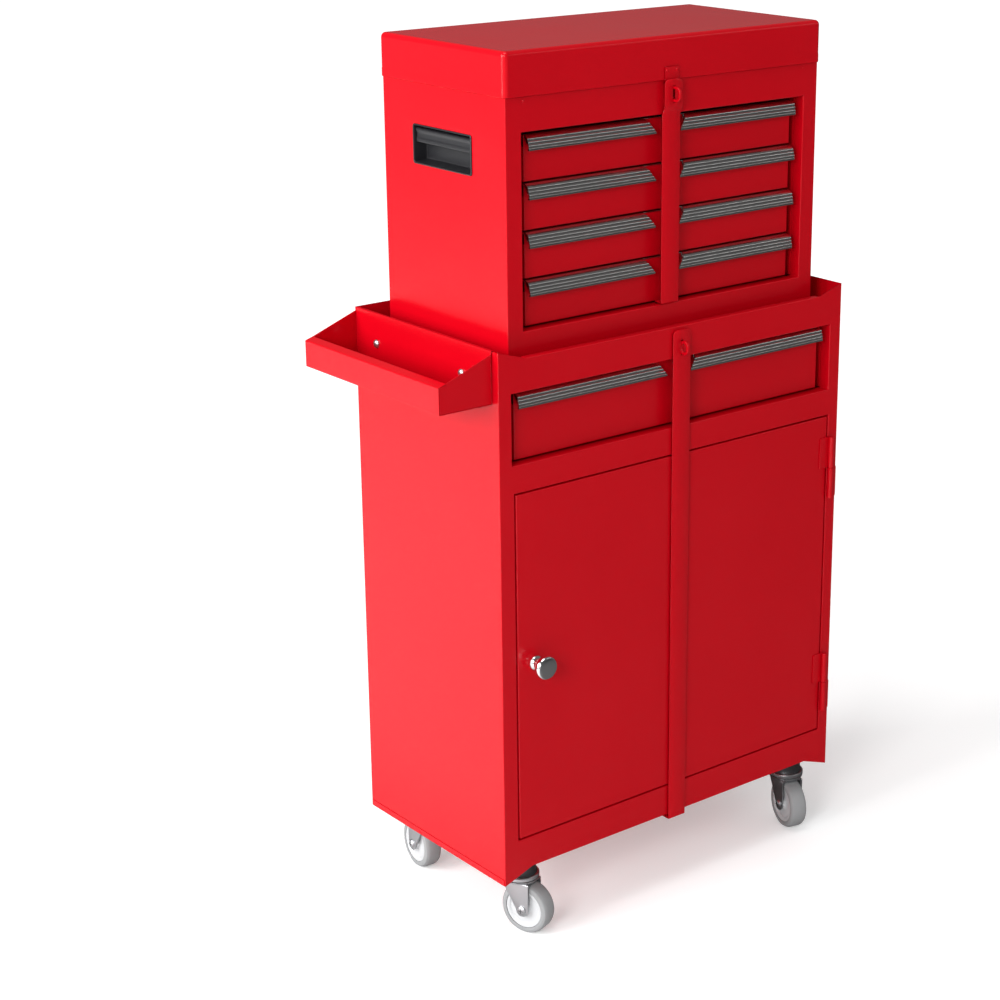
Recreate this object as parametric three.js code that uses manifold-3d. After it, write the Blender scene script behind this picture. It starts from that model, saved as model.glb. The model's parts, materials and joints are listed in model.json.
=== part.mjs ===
// Rolling tool chest: a lower cabinet on four swivel casters, with a drawer, a door and a side tray,
// and a removable top chest with four drawers under a hinged lid. Millimetres, +Z up, front towards -Y.
// Every sheet-metal piece is a closed solid as thick as its sheet.
import * as THREE from 'three';
import { mergeVertices } from 'three/addons/utils/BufferGeometryUtils.js';
import Module from 'manifold-3d';

const wasm = await Module();
wasm.setup();

// ---------------------------------------------------------------- driving dimensions
const SHEET = 1; // steel sheet of every folded panel
const GAP = 0.3; // between two pieces that touch
const RUNNING = 0.3; // radial clearance of a pin or shaft in its hole

const WHEEL = { diameter: 63.5, width: 22, tread: 7.5, facets: 32, axle: 6 };
const CASTER = {
  height: 101, plate: 52, plateThickness: 2.5, raceway: 22, crown: 3, leg: 2, trail: 10, legWidth: 15,
  insetLeft: 50, insetRight: 36, insetFront: 36, insetBack: 43,
  angles: { frontLeft: 20, frontRight: -16, backLeft: 174, backRight: 205 }, // trail, in degrees from -Y
};
const CABINET = {
  width: 516, depth: 272, bottomRail: 37.5, doorOpening: 417.5, middleRail: 32, drawerOpening: 81,
  topRail: 37, jamb: 18, hingeJamb: 16, latchJamb: 20.5, flange: 14, rimFlange: 8, floorRise: 2,
  footDrop: 14, footWidth: 40, tabRise: 11, tabWidth: 38, recess: 16, divider: 10, shelfHeight: 239,
};
const CHEST = {
  width: 454, depth: 224, setback: 22, bottomRail: 37.7, opening: 214.5, topRail: 56.5, jamb: 21, drawers: 4,
  till: 4,
};
const LID = { height: 48, overhang: 2.5, overlap: 19, corner: 5.5 };
const LID_HINGE = { length: 400, knuckles: 5, radius: 2.5, pin: 1.2, drop: 3, leaf: 16, knuckleGap: 1 };
const DRAWER = {
  recess: 11, sideGap: 11, topGap: 5, bottomGap: 2.3, between: 2.5, lip: 8, backRoom: 3, sideDrop: 13,
  runner: 7, runnerDrop: 14,
};
const BASE_DRAWER = { topGap: 3, backRoom: 14 };
const RACK = { ledge: 7.5, slack: 0.5, front: 16, end: 5 };
const TRIM = { height: 16, reach: 10, skin: 1.6, web: 0.8, middleGap: 18, mitre: 12 };
const DOOR = { gap: 2, depth: 14, lip: 10 };
const DOOR_HINGE = { radius: 3.5, pin: 1.6, length: 78, upper: 26, lower: 25, leaf: 12, proud: 4 };
const KNOB = { inset: 24.8, height: 211.5, radius: 14, reach: 24, neck: 6, base: 9, screw: 2.5 };
const MAGNET = { width: 30, depth: 9, height: 30 };
const BAR = {
  width: 25, thickness: 3, standoff: 0.6, corner: 6, joggle: 4, joggleRun: 8, slotWidth: 6.4, slotSlack: 2,
  hook: 3,
};
const UPPER_BAR = { joggleBelowLid: 30, aboveLidEdge: 1, tongueRise: 1, tongue: 8 };
const LOWER_BAR = { belowRim: 4, hookDrop: 3, tongue: 12 };
const STAPLE = { thickness: 3, height: 17, reach: 11, wire: 3, belowLid: 7, belowRim: 16 };
const LID_TAB = { width: 20, above: 14, below: 28, thickness: 1.2 };
const HANDLE = {
  length: 105, height: 41, depth: 17, wall: 1.6, rim: 3, proud: 1.2, top: 66, pin: 2, pinDepth: 3.5, pinDrop: 5,
  grip: 11, paddle: 3,
};
const TRAY = { reach: 70, front: 10, back: 4, backDrop: 58, lip: 30, flange: 10, flangeRise: 3, hook: 10 };
const BOLT = { radius: 2.5, head: 5, headDepth: 3, nut: 4.5, nutDepth: 3.5, drop: 34.5, front: 63, back: 46 };

// ---------------------------------------------------------------- finishes
const paint = new THREE.MeshStandardMaterial({ name: 'red_paint', color: 0xb4000f, roughness: 0.28 });
const bright = new THREE.MeshStandardMaterial({ name: 'trim', color: 0x9a9894, roughness: 0.3, metalness: 1 });
const chrome = new THREE.MeshStandardMaterial({ name: 'chrome', color: 0xd8d8d8, roughness: 0.08, metalness: 1 });
const zinc = new THREE.MeshStandardMaterial({ name: 'zinc', color: 0xa8abb0, roughness: 0.35, metalness: 1 });
const black = new THREE.MeshStandardMaterial({ name: 'black_plastic', color: 0x242428, roughness: 0.5 });
const hubWhite = new THREE.MeshStandardMaterial({ name: 'hub', color: 0xd9dbdc, roughness: 0.45 });
const tyreGrey = new THREE.MeshStandardMaterial({ name: 'tyre', color: 0x8a8c8e, roughness: 0.7 });

// ---------------------------------------------------------------- solids
// A closed geometry as a solid: shared vertices merged, collapsed triangles dropped.
function solid(geometry) {
  const bare = geometry.clone();
  bare.deleteAttribute('normal');
  bare.deleteAttribute('uv');
  const merged = mergeVertices(bare, 1e-4);
  const index = merged.index.array;
  const triangles = [];
  for (let i = 0; i < index.length; i += 3) {
    const [a, b, c] = [index[i], index[i + 1], index[i + 2]];
    if (a !== b && b !== c && a !== c) triangles.push(a, b, c);
  }
  return new wasm.Manifold(new wasm.Mesh({
    numProp: 3,
    vertProperties: new Float32Array(merged.attributes.position.array),
    triVerts: new Uint32Array(triangles),
  }));
}

// A box from two opposite corners.
function box(x0, x1, y0, y1, z0, z1) {
  const geometry = new THREE.BoxGeometry(x1 - x0, y1 - y0, z1 - z0);
  geometry.translate((x0 + x1) / 2, (y0 + y1) / 2, (z0 + z1) / 2);
  return solid(geometry);
}

// Where an outline's own axes and its sweep point, for a sweep along x, y or z.
const BASES = {
  x: new THREE.Matrix4().makeBasis(
    new THREE.Vector3(0, 1, 0), new THREE.Vector3(0, 0, 1), new THREE.Vector3(1, 0, 0)),
  y: new THREE.Matrix4().makeBasis(
    new THREE.Vector3(1, 0, 0), new THREE.Vector3(0, 0, 1), new THREE.Vector3(0, -1, 0)),
  z: new THREE.Matrix4(),
};

// An outline swept straight along an axis between two coordinates. The outline is a list of [a, b] points
// or a THREE.Shape: (y, z) for x, (x, z) for y and (x, y) for z.
function prism(outline, axis, from, to) {
  const shape = outline instanceof THREE.Shape ? outline : new THREE.Shape(outline.map(([a, b]) => new THREE.Vector2(a, b)));
  const geometry = new THREE.ExtrudeGeometry(shape, { depth: to - from, bevelEnabled: false, curveSegments: 4 });
  geometry.applyMatrix4(BASES[axis]);
  const start = new THREE.Vector3(axis === 'x' ? from : 0, axis === 'y' ? to : 0, axis === 'z' ? from : 0);
  geometry.translate(start.x, start.y, start.z);
  return solid(geometry);
}

// A profile of [radius, height] points turned about an axis that passes through (a, b).
function turned(profile, axis, a, b, segments = 24) {
  const geometry = new THREE.LatheGeometry(profile.map(([r, h]) => new THREE.Vector2(r, h)), segments);
  if (axis === 'z') geometry.rotateX(Math.PI / 2).translate(a, b, 0);
  if (axis === 'y') geometry.translate(a, 0, b);
  if (axis === 'x') geometry.rotateZ(-Math.PI / 2).translate(0, a, b);
  return solid(geometry);
}

// A round bar along an axis between two coordinates.
function rod(radius, axis, from, to, a, b, segments = 16) {
  return turned([[0, from], [radius, from], [radius, to], [0, to]], axis, a, b, segments);
}

// The outline of a folded sheet: a polyline through the bends' middles, given its thickness with mitred bends.
function folded(points, thickness) {
  const path = points.map(([a, b]) => new THREE.Vector2(a, b));
  const side = (sign) => path.map((point, i) => {
    const before = point.clone().sub(path[Math.max(i - 1, 0)]);
    const after = path[Math.min(i + 1, path.length - 1)].clone().sub(point);
    const first = (i === 0 ? after : before).normalize();
    const second = (i === path.length - 1 ? before : after).normalize();
    const mitre = new THREE.Vector2(-first.y - second.y, first.x + second.x).normalize();
    const reach = thickness / 2 / Math.max(mitre.dot(new THREE.Vector2(-first.y, first.x)), 0.2);
    return [point.x + sign * reach * mitre.x, point.y + sign * reach * mitre.y];
  });
  return [...side(-1), ...side(1).reverse()];
}

// A rectangle whose four corners are rounded by one radius.
function roundedRectangle(a0, a1, b0, b1, radius) {
  const shape = new THREE.Shape();
  shape.moveTo(a0 + radius, b0);
  shape.lineTo(a1 - radius, b0);
  shape.absarc(a1 - radius, b0 + radius, radius, -Math.PI / 2, 0);
  shape.lineTo(a1, b1 - radius);
  shape.absarc(a1 - radius, b1 - radius, radius, 0, Math.PI / 2);
  shape.lineTo(a0 + radius, b1);
  shape.absarc(a0 + radius, b1 - radius, radius, Math.PI / 2, Math.PI);
  shape.lineTo(a0, b0 + radius);
  shape.absarc(a0 + radius, b0 + radius, radius, Math.PI, Math.PI * 1.5);
  return shape;
}

const join = (...pieces) => pieces.reduce((whole, piece) => whole.add(piece));

// A named mesh from a manifold solid.
function part(name, body, material) {
  const mesh = body.getMesh();
  const geometry = new THREE.BufferGeometry();
  geometry.setAttribute('position', new THREE.BufferAttribute(new Float32Array(mesh.vertProperties), 3));
  geometry.setIndex(new THREE.BufferAttribute(new Uint32Array(mesh.triVerts), 1));
  geometry.computeVertexNormals();
  const piece = new THREE.Mesh(geometry, material);
  piece.name = name;
  return piece;
}

// ---------------------------------------------------------------- places that follow from the dimensions
const half = CABINET.width / 2;
const railBottom = CASTER.height - CABINET.floorRise;
const cabinetBottom = railBottom - CABINET.footDrop;
const doorway = {
  left: -half + CABINET.latchJamb,
  right: half - CABINET.hingeJamb,
  bottom: railBottom + CABINET.bottomRail,
  top: railBottom + CABINET.bottomRail + CABINET.doorOpening,
};
const drawerBay = {
  left: -half + CABINET.jamb,
  right: half - CABINET.jamb,
  bottom: doorway.top + CABINET.middleRail,
  top: doorway.top + CABINET.middleRail + CABINET.drawerOpening,
};
const frontRim = drawerBay.top + CABINET.topRail;
const rim = frontRim + CABINET.tabRise;
const deckTop = frontRim - CABINET.recess;
const chestHalf = CHEST.width / 2;
const chestHeight = CHEST.bottomRail + CHEST.opening + CHEST.topRail;
const chestBay = {
  left: -chestHalf + CHEST.jamb,
  right: chestHalf - CHEST.jamb,
  bottom: CHEST.bottomRail,
  top: CHEST.bottomRail + CHEST.opening,
};
const lidBottom = chestHeight - LID.overlap;
const lidTop = lidBottom + LID.height;

// ---------------------------------------------------------------- sheet-metal sub-shapes
// A front frame: one sheet with openings, and a flange folded back round each opening.
function frontFrame(outline, openings, flange) {
  const flanges = [];
  let sheet = prism(outline, 'y', 0, SHEET);
  for (const { left, right, bottom, top } of openings) {
    sheet = sheet.subtract(box(left, right, -SHEET, SHEET * 2, bottom, top));
    flanges.push(
      box(left - SHEET, right + SHEET, 0, flange, bottom - SHEET, top + SHEET)
        .subtract(box(left, right, -SHEET, flange + SHEET, bottom, top)));
  }
  return join(sheet, ...flanges);
}

// The two sides and the back of a carcass, folded from one sheet.
function wrap(halfWidth, depth, bottom, top) {
  const inset = SHEET / 2;
  const path = [
    [-halfWidth + inset, SHEET + GAP], [-halfWidth + inset, depth - inset],
    [halfWidth - inset, depth - inset], [halfWidth - inset, SHEET + GAP],
  ];
  return prism(folded(path, SHEET), 'z', bottom, top);
}

// A level panel between the walls of a carcass.
function panel(halfWidth, depth, z) {
  const x = halfWidth - SHEET - GAP;
  return box(-x, x, SHEET + GAP, depth - SHEET - GAP, z - SHEET, z);
}

// A drawer with its front's lower edge at z = 0 and its face at y = 0: front, lip, box and side runners.
function drawerBody(halfWidth, height, depth) {
  const sideTop = height - DRAWER.sideDrop;
  const runner = height - DRAWER.runnerDrop;
  return join(
    box(-halfWidth, halfWidth, 0, SHEET, 0, height),
    box(-halfWidth, halfWidth, 0, DRAWER.lip, height - SHEET, height),
    box(-halfWidth, halfWidth, 0, depth, 0, SHEET),
    box(-halfWidth, -halfWidth + SHEET, 0, depth, 0, sideTop),
    box(halfWidth - SHEET, halfWidth, 0, depth, 0, sideTop),
    box(-halfWidth, halfWidth, depth - SHEET, depth, 0, sideTop),
    box(-halfWidth - DRAWER.runner, -halfWidth + SHEET, RACK.front, depth, runner, runner + SHEET),
    box(halfWidth - SHEET, halfWidth + DRAWER.runner, RACK.front, depth, runner, runner + SHEET));
}

// The pull along a drawer's top edge: two sloping noses with a finger hook below, joined by the thin strip
// that clips over the drawer's lip, and cut away in the middle for the lock bar.
function drawerTrim(halfWidth, height) {
  const top = height + GAP;
  const nose = [
    [0, top + TRIM.web], [-1.5 - GAP, top + TRIM.web],
    [-TRIM.reach, height - TRIM.height + 3], [-TRIM.reach, height - TRIM.height],
    [-TRIM.reach + 3, height - TRIM.height], [-TRIM.reach + 3, height - TRIM.height + TRIM.skin],
    [-TRIM.reach + TRIM.skin, height - TRIM.height + TRIM.skin],
    [-TRIM.reach + TRIM.skin, height - TRIM.height + 3.4],
    [-GAP, top - TRIM.skin], [-GAP, top], [0, top],
  ];
  // The gap for the lock bar is wider at the top than at the lip.
  const middle = prism([
    [-TRIM.middleGap, height - TRIM.height - 1], [TRIM.middleGap, height - TRIM.height - 1],
    [TRIM.middleGap, height - TRIM.height + 2], [TRIM.middleGap + TRIM.mitre, top + 2],
    [-TRIM.middleGap - TRIM.mitre, top + 2], [-TRIM.middleGap, height - TRIM.height + 2],
  ], 'y', -TRIM.reach - 1, -GAP);
  return join(
    prism(nose, 'x', -halfWidth, halfWidth).subtract(middle),
    box(-halfWidth, halfWidth, -GAP, DRAWER.lip - 1, top, top + TRIM.web));
}

// One side's drawer rack: a plate with a channel of two ledges for each runner height.
function rack(side, bay, y0, y1, runners) {
  const outer = side > 0 ? bay.right : -bay.left;
  const strip = (from, to, z0, z1) => box(
    Math.min(side * from, side * to), Math.max(side * from, side * to), y0, y1, z0, z1);
  const ledges = runners.flatMap((z) => [
    strip(outer - SHEET - RACK.ledge + 1, outer - SHEET / 2, z - RACK.slack - SHEET, z - RACK.slack),
    strip(outer - SHEET - RACK.ledge + 1, outer - SHEET / 2, z + SHEET + RACK.slack, z + 2 * SHEET + RACK.slack),
  ]);
  return join(strip(outer - SHEET, outer, bay.bottom + 1, bay.top - 1), ...ledges);
}

// A D-shaped staple for a padlock, standing out of a front plate at y = 0.
function staple(bottom, reach) {
  const top = bottom + STAPLE.height;
  const dee = (inset) => {
    const shape = new THREE.Shape();
    const radius = STAPLE.height / 2 - inset;
    shape.moveTo(-GAP, bottom + inset);
    shape.lineTo(-GAP, top - inset);
    shape.lineTo(-reach + STAPLE.height / 2, top - inset);
    shape.absarc(-reach + STAPLE.height / 2, (bottom + top) / 2, radius, Math.PI / 2, Math.PI * 1.5);
    return shape;
  };
  const outer = prism(dee(0), 'x', -STAPLE.thickness / 2, STAPLE.thickness / 2);
  const eye = prism(dee(STAPLE.wire), 'x', -STAPLE.thickness, STAPLE.thickness);
  const foot = box(-STAPLE.thickness, STAPLE.thickness, -SHEET - GAP, SHEET, bottom - 1, top + 1);
  return outer.subtract(eye.subtract(foot));
}

// A lock bar from its side profile in y and z: rounded at its top corners and slotted for its staple.
function lockBar(side, bottom, top, stapleBottom) {
  const slot = BAR.slotWidth / 2;
  const face = roundedRectangle(
    -BAR.width / 2, BAR.width / 2, bottom - BAR.corner * 2, top, BAR.corner);
  const hole = box(
    -slot, slot, -BAR.thickness * 10, 0, stapleBottom - BAR.slotSlack,
    stapleBottom + STAPLE.height + BAR.slotSlack);
  return prism(side, 'x', -BAR.width / 2, BAR.width / 2)
    .intersect(prism(face, 'y', -BAR.thickness * 10, BAR.thickness * 10))
    .subtract(hole);
}

// ---------------------------------------------------------------- cabinet
const cabinet = new THREE.Group();

const cabinetOutline = [
  [-half, cabinetBottom], [-half + CABINET.footWidth, railBottom], [half - CABINET.footWidth, railBottom],
  [half, cabinetBottom], [half, rim], [half - CABINET.tabWidth, frontRim],
  [-half + CABINET.tabWidth, frontRim], [-half, rim],
];
const rimReturn = box(
  -half + CABINET.tabWidth, half - CABINET.tabWidth, 0, CABINET.rimFlange, frontRim - SHEET, frontRim);
cabinet.add(part(
  'cabinet_front_frame', join(frontFrame(cabinetOutline, [doorway, drawerBay], CABINET.flange), rimReturn), paint));

const trayTop = rim + GAP + SHEET;
const boltHeight = rim - BOLT.drop;
const boltPlaces = { front: BOLT.front, back: CABINET.depth - BOLT.back };
const boltHole = (y) => rod(BOLT.radius + RUNNING, 'x', -half - 9, -half + 9, y, boltHeight, 12);
cabinet.add(part('cabinet_shell', wrap(half, CABINET.depth, cabinetBottom, rim)
  .subtract(boltHole(boltPlaces.front)).subtract(boltHole(boltPlaces.back)), paint));
cabinet.add(part('cabinet_floor', panel(half, CABINET.depth, CASTER.height + SHEET), paint));
cabinet.add(part('cabinet_deck', panel(half, CABINET.depth, deckTop), paint));

const dividerFront = CABINET.flange + GAP;
const dividerZ = drawerBay.bottom - CABINET.divider;
cabinet.add(part('cabinet_divider', box(
  -half + SHEET + GAP, half - SHEET - GAP, dividerFront, CABINET.depth - SHEET - GAP,
  dividerZ - SHEET, dividerZ), paint));

const magnetFront = DOOR.depth + 2 * GAP;
const shelfFront = magnetFront + MAGNET.depth + 5;
const shelfZ = CASTER.height + CABINET.shelfHeight;
const shelfHalf = half - SHEET - GAP;
const shelfPath = [
  [shelfFront, shelfZ - 14], [shelfFront, shelfZ], [CABINET.depth - 4, shelfZ], [CABINET.depth - 4, shelfZ - 14],
];
cabinet.add(part('cabinet_shelf', prism(folded(shelfPath, SHEET), 'x', -shelfHalf, shelfHalf), paint));

const magnetZ = doorway.bottom + KNOB.height - DOOR.gap;
cabinet.add(part('magnet_catch', box(
  -half + SHEET + GAP, -half + SHEET + GAP + MAGNET.width, magnetFront, magnetFront + MAGNET.depth,
  magnetZ - MAGNET.height / 2, magnetZ + MAGNET.height / 2), black));

// Side tray: a back plate hooked over the side's rim, a floor, a lip with an inward flange, and two ends.
const trayBack = -half - GAP - SHEET / 2;
const trayOuter = -half - TRAY.reach + SHEET / 2;
const trayFloor = rim - TRAY.backDrop;
const trayPath = [
  [-half + SHEET * 2, rim - TRAY.hook], [-half + SHEET * 2, trayTop - SHEET / 2],
  [trayBack, trayTop - SHEET / 2], [trayBack, trayFloor + SHEET / 2], [trayOuter, trayFloor + SHEET / 2],
  [trayOuter, trayFloor + TRAY.lip], [trayOuter + TRAY.flange, trayFloor + TRAY.lip + TRAY.flangeRise],
];
const trayFrontY = TRAY.front;
const trayBackY = CABINET.depth - TRAY.back;
const trayEndOutline = [
  [trayBack, trayFloor], [trayBack, rim - 3], [trayOuter, trayFloor + TRAY.lip], [trayOuter, trayFloor],
];
const tray = join(
  prism(folded(trayPath, SHEET), 'y', trayFrontY, trayBackY),
  prism(trayEndOutline, 'y', trayFrontY, trayFrontY + SHEET),
  prism(trayEndOutline, 'y', trayBackY - SHEET, trayBackY));
cabinet.add(part('side_tray', tray
  .subtract(boltHole(boltPlaces.front)).subtract(boltHole(boltPlaces.back)), paint));
for (const [end, y] of Object.entries(boltPlaces)) {
  const headFace = trayBack - SHEET / 2 - GAP;
  cabinet.add(part(`tray_bolt_${end}`, turned([
    [0, headFace - BOLT.headDepth], [BOLT.head * 0.6, headFace - BOLT.headDepth],
    [BOLT.head, headFace - BOLT.headDepth * 0.4], [BOLT.head, headFace], [BOLT.radius, headFace],
    [BOLT.radius, -half + SHEET + GAP], [BOLT.nut, -half + SHEET + GAP],
    [BOLT.nut, -half + SHEET + GAP + BOLT.nutDepth], [0, -half + SHEET + GAP + BOLT.nutDepth],
  ], 'x', y, boltHeight, 12), zinc));
}

const lowerStapleBottom = frontRim - STAPLE.belowRim - STAPLE.height;
cabinet.add(part('lower_staple', staple(
  lowerStapleBottom, BAR.standoff + BAR.thickness + STAPLE.reach), paint));

// The lower lock bar runs from the top rail to a hook under the bottom rail.
const barBack = -BAR.standoff - BAR.thickness / 2;
const lowerHook = railBottom - LOWER_BAR.hookDrop - BAR.hook / 2;
const lowerSide = folded([
  [barBack, frontRim - LOWER_BAR.belowRim], [barBack, lowerHook], [LOWER_BAR.tongue, lowerHook],
], BAR.thickness);
cabinet.add(part('lower_lock_bar', lockBar(
  lowerSide, lowerHook - BAR.hook, frontRim - LOWER_BAR.belowRim, lowerStapleBottom), paint));

// ---------------------------------------------------------------- door
const doorEdges = {
  left: doorway.left + DOOR.gap,
  right: doorway.right - DOOR.gap,
  bottom: doorway.bottom + DOOR.gap,
  top: doorway.top - DOOR.gap,
};
const hingeX = doorEdges.right + DOOR_HINGE.radius + 1;
const hingeY = -DOOR_HINGE.proud;
const hingeStarts = {
  lower: doorEdges.bottom + DOOR_HINGE.lower,
  upper: doorEdges.top - DOOR_HINGE.upper - DOOR_HINGE.length,
};
const knob = { x: doorEdges.left + KNOB.inset, z: doorEdges.bottom + KNOB.height };

function doorPan() {
  const { left, right, bottom, top } = doorEdges;
  const shell = box(left, right, 0, DOOR.depth, bottom, top)
    .subtract(box(left + SHEET, right - SHEET, SHEET, DOOR.depth - SHEET, bottom + SHEET, top - SHEET));
  return shell.subtract(box(
    left + DOOR.lip, right - DOOR.lip, DOOR.depth / 2, DOOR.depth + 1, bottom + DOOR.lip, top - DOOR.lip));
}

// A knuckle round the hinge line, with the leaf that carries it on one side.
function doorKnuckle(z0, z1, leafEnd) {
  const barrel = rod(DOOR_HINGE.radius, 'z', z0, z1, hingeX, hingeY, 16);
  const leaf = box(
    Math.min(hingeX, leafEnd), Math.max(hingeX, leafEnd), hingeY + DOOR_HINGE.radius - SHEET, -GAP, z0, z1);
  return join(barrel, leaf);
}

const pinHole = (z0, z1) => rod(DOOR_HINGE.pin + RUNNING, 'z', z0, z1, hingeX, hingeY, 12);
let door = doorPan();
for (const [place, z] of Object.entries(hingeStarts)) {
  const middle = z + DOOR_HINGE.length / 2;
  const end = z + DOOR_HINGE.length;
  const doorLeafEnd = doorEdges.right - DOOR_HINGE.leaf;
  door = join(
    door, box(doorLeafEnd, doorEdges.right, -SHEET, SHEET / 2, middle + GAP, end),
    doorKnuckle(middle + GAP, end, doorLeafEnd).subtract(pinHole(middle, end + 1)));
  cabinet.add(part(`door_hinge_${place}`, join(
    doorKnuckle(z, middle, hingeX + DOOR_HINGE.leaf),
    rod(DOOR_HINGE.pin, 'z', z, end, hingeX, hingeY, 12)), paint));
}
door = door.subtract(rod(KNOB.screw + RUNNING, 'y', -1, SHEET + 1, knob.x, knob.z, 12));
cabinet.add(part('door', door, paint));

// The knob's screw passes through the door, with its head on the inside.
cabinet.add(part('door_knob', turned([
  [0, -KNOB.reach], [KNOB.radius * 0.72, -KNOB.reach], [KNOB.radius * 0.94, -KNOB.reach + 2],
  [KNOB.radius, -KNOB.reach + 6], [KNOB.radius * 0.9, -KNOB.reach + 11], [KNOB.neck, -KNOB.reach + 17],
  [KNOB.neck, -5], [KNOB.base, -2.5], [KNOB.base, -GAP], [KNOB.screw, -GAP],
  [KNOB.screw, SHEET + GAP], [KNOB.screw * 2, SHEET + GAP], [KNOB.screw * 2, SHEET + 3], [0, SHEET + 3],
], 'y', knob.x, knob.z, 24), chrome));

// ---------------------------------------------------------------- base drawer
const baseHalf = drawerBay.right - DRAWER.sideGap;
const baseHeight = CABINET.drawerOpening - BASE_DRAWER.topGap - DRAWER.bottomGap;
const baseDepth = CABINET.depth - SHEET - BASE_DRAWER.backRoom - DRAWER.recess;
const baseDrawer = new THREE.Group();
baseDrawer.position.set(0, DRAWER.recess, drawerBay.bottom + DRAWER.bottomGap);
baseDrawer.add(part('base_drawer', drawerBody(baseHalf, baseHeight, baseDepth), paint));
baseDrawer.add(part('base_drawer_trim', drawerTrim(baseHalf, baseHeight), bright));
cabinet.add(baseDrawer);

const baseRunner = drawerBay.bottom + DRAWER.bottomGap + baseHeight - DRAWER.runnerDrop;
for (const [name, side] of [['left', -1], ['right', 1]]) {
  cabinet.add(part(`base_slide_${name}`, rack(
    side, drawerBay, CABINET.flange + GAP, CABINET.depth - SHEET - RACK.end, [baseRunner]), paint));
}

// ---------------------------------------------------------------- casters
const wheelRadius = WHEEL.diameter / 2;
// A faceted wheel stands on a flat, so its centre is a little lower than its radius.
const wheelCentre = wheelRadius * Math.cos(Math.PI / WHEEL.facets);
const flatDown = Math.PI / WHEEL.facets;

// A caster with its swivel axis at (0, 0), its wheel trailing towards -Y and its lowest flat at z = 0.
function caster(label, x, y, angle) {
  const fixed = new THREE.Group();
  fixed.position.set(x, y, 0);
  const plateTop = CASTER.height - GAP;
  const plateBottom = plateTop - CASTER.plateThickness;
  const crownBottom = WHEEL.diameter + 2.5;
  const crownTop = crownBottom + CASTER.crown;
  const neck = crownTop + GAP;
  const plate = box(
    -CASTER.plate / 2, CASTER.plate / 2, -CASTER.plate / 2, CASTER.plate / 2, plateBottom, plateTop);
  const race = turned([
    [0, neck], [CASTER.raceway, neck], [CASTER.raceway, neck + 5], [CASTER.raceway * 0.72, plateBottom + 0.5],
    [0, plateBottom + 0.5],
  ], 'z', 0, 0, 24);
  fixed.add(part(`caster_plate_${label}`, join(plate, race), zinc));

  const swivel = new THREE.Group();
  swivel.rotation.z = THREE.MathUtils.degToRad(angle);
  const legInner = WHEEL.width / 2 + 1.5;
  const legOuter = legInner + CASTER.leg;
  const spread = CASTER.legWidth * 1.25;
  // Each leg narrows from the crown to a round eye about the axle.
  const leg = new THREE.Shape();
  leg.moveTo(spread, crownTop);
  leg.lineTo(-spread, crownTop);
  leg.lineTo(-CASTER.trail - CASTER.legWidth / 2, wheelCentre);
  leg.absarc(-CASTER.trail, wheelCentre, CASTER.legWidth / 2, Math.PI, Math.PI * 2);
  const crown = turned([
    [0, crownBottom], [CASTER.raceway, crownBottom], [CASTER.raceway, crownTop], [0, crownTop],
  ], 'z', 0, 0, 24);
  const bridge = box(-legOuter, legOuter, -spread, spread, crownBottom, crownTop);
  const headDepth = 3;
  const axle = turned([
    [0, -legOuter - headDepth], [WHEEL.axle * 0.7, -legOuter - headDepth], [WHEEL.axle, -legOuter - 0.6],
    [WHEEL.axle, -legOuter + 0.5], [WHEEL.axle / 2, -legOuter + 0.5], [WHEEL.axle / 2, legOuter - 0.5],
    [WHEEL.axle, legOuter - 0.5], [WHEEL.axle, legOuter + headDepth], [0, legOuter + headDepth],
  ], 'x', -CASTER.trail, wheelCentre, 12);
  swivel.add(part(`caster_fork_${label}`, join(
    crown, bridge, prism(leg, 'x', -legOuter, -legInner), prism(leg, 'x', legInner, legOuter), axle), zinc));

  // The wheel turns about its own x axis.
  const wheel = new THREE.Group();
  wheel.position.set(0, -CASTER.trail, wheelCentre);
  wheel.rotation.x = flatDown;
  const w = WHEEL.width / 2;
  const rimRadius = wheelRadius - WHEEL.tread;
  const bore = WHEEL.axle / 2 + RUNNING;
  wheel.add(part(`caster_hub_${label}`, turned([
    [bore, -w - 0.5], [bore + 4, -w - 0.5], [bore + 5, -w + 2.5], [rimRadius - 4, -w + 2.5],
    [rimRadius - GAP, -w + 1], [rimRadius - GAP, w - 1], [rimRadius - 4, w - 2.5], [bore + 5, w - 2.5],
    [bore + 4, w + 0.5], [bore, w + 0.5], [bore, -w - 0.5],
  ], 'x', 0, 0, WHEEL.facets), hubWhite));
  wheel.add(part(`caster_tyre_${label}`, turned([
    [rimRadius, -w + 0.5], [wheelRadius - 3.5, -w], [wheelRadius - 1, -w + 3], [wheelRadius, -w + 6],
    [wheelRadius, w - 6], [wheelRadius - 1, w - 3], [wheelRadius - 3.5, w], [rimRadius, w - 0.5],
    [rimRadius, -w + 0.5],
  ], 'x', 0, 0, WHEEL.facets), tyreGrey));
  swivel.add(wheel);
  fixed.add(swivel);
  return fixed;
}

const casterX = { left: -half + CASTER.insetLeft, right: half - CASTER.insetRight };
const casterY = { front: CASTER.insetFront, back: CABINET.depth - CASTER.insetBack };
cabinet.add(caster('front_left', casterX.left, casterY.front, CASTER.angles.frontLeft));
cabinet.add(caster('front_right', casterX.right, casterY.front, CASTER.angles.frontRight));
cabinet.add(caster('back_left', casterX.left, casterY.back, CASTER.angles.backLeft));
cabinet.add(caster('back_right', casterX.right, casterY.back, CASTER.angles.backRight));

// ---------------------------------------------------------------- top chest, its bottom at z = 0, face at y = 0
const chest = new THREE.Group();
chest.position.set(0, CHEST.setback, deckTop + GAP);

const chestOutline = [[-chestHalf, 0], [chestHalf, 0], [chestHalf, chestHeight], [-chestHalf, chestHeight]];
chest.add(part('chest_front_frame', frontFrame(chestOutline, [chestBay], CABINET.flange), paint));

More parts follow.
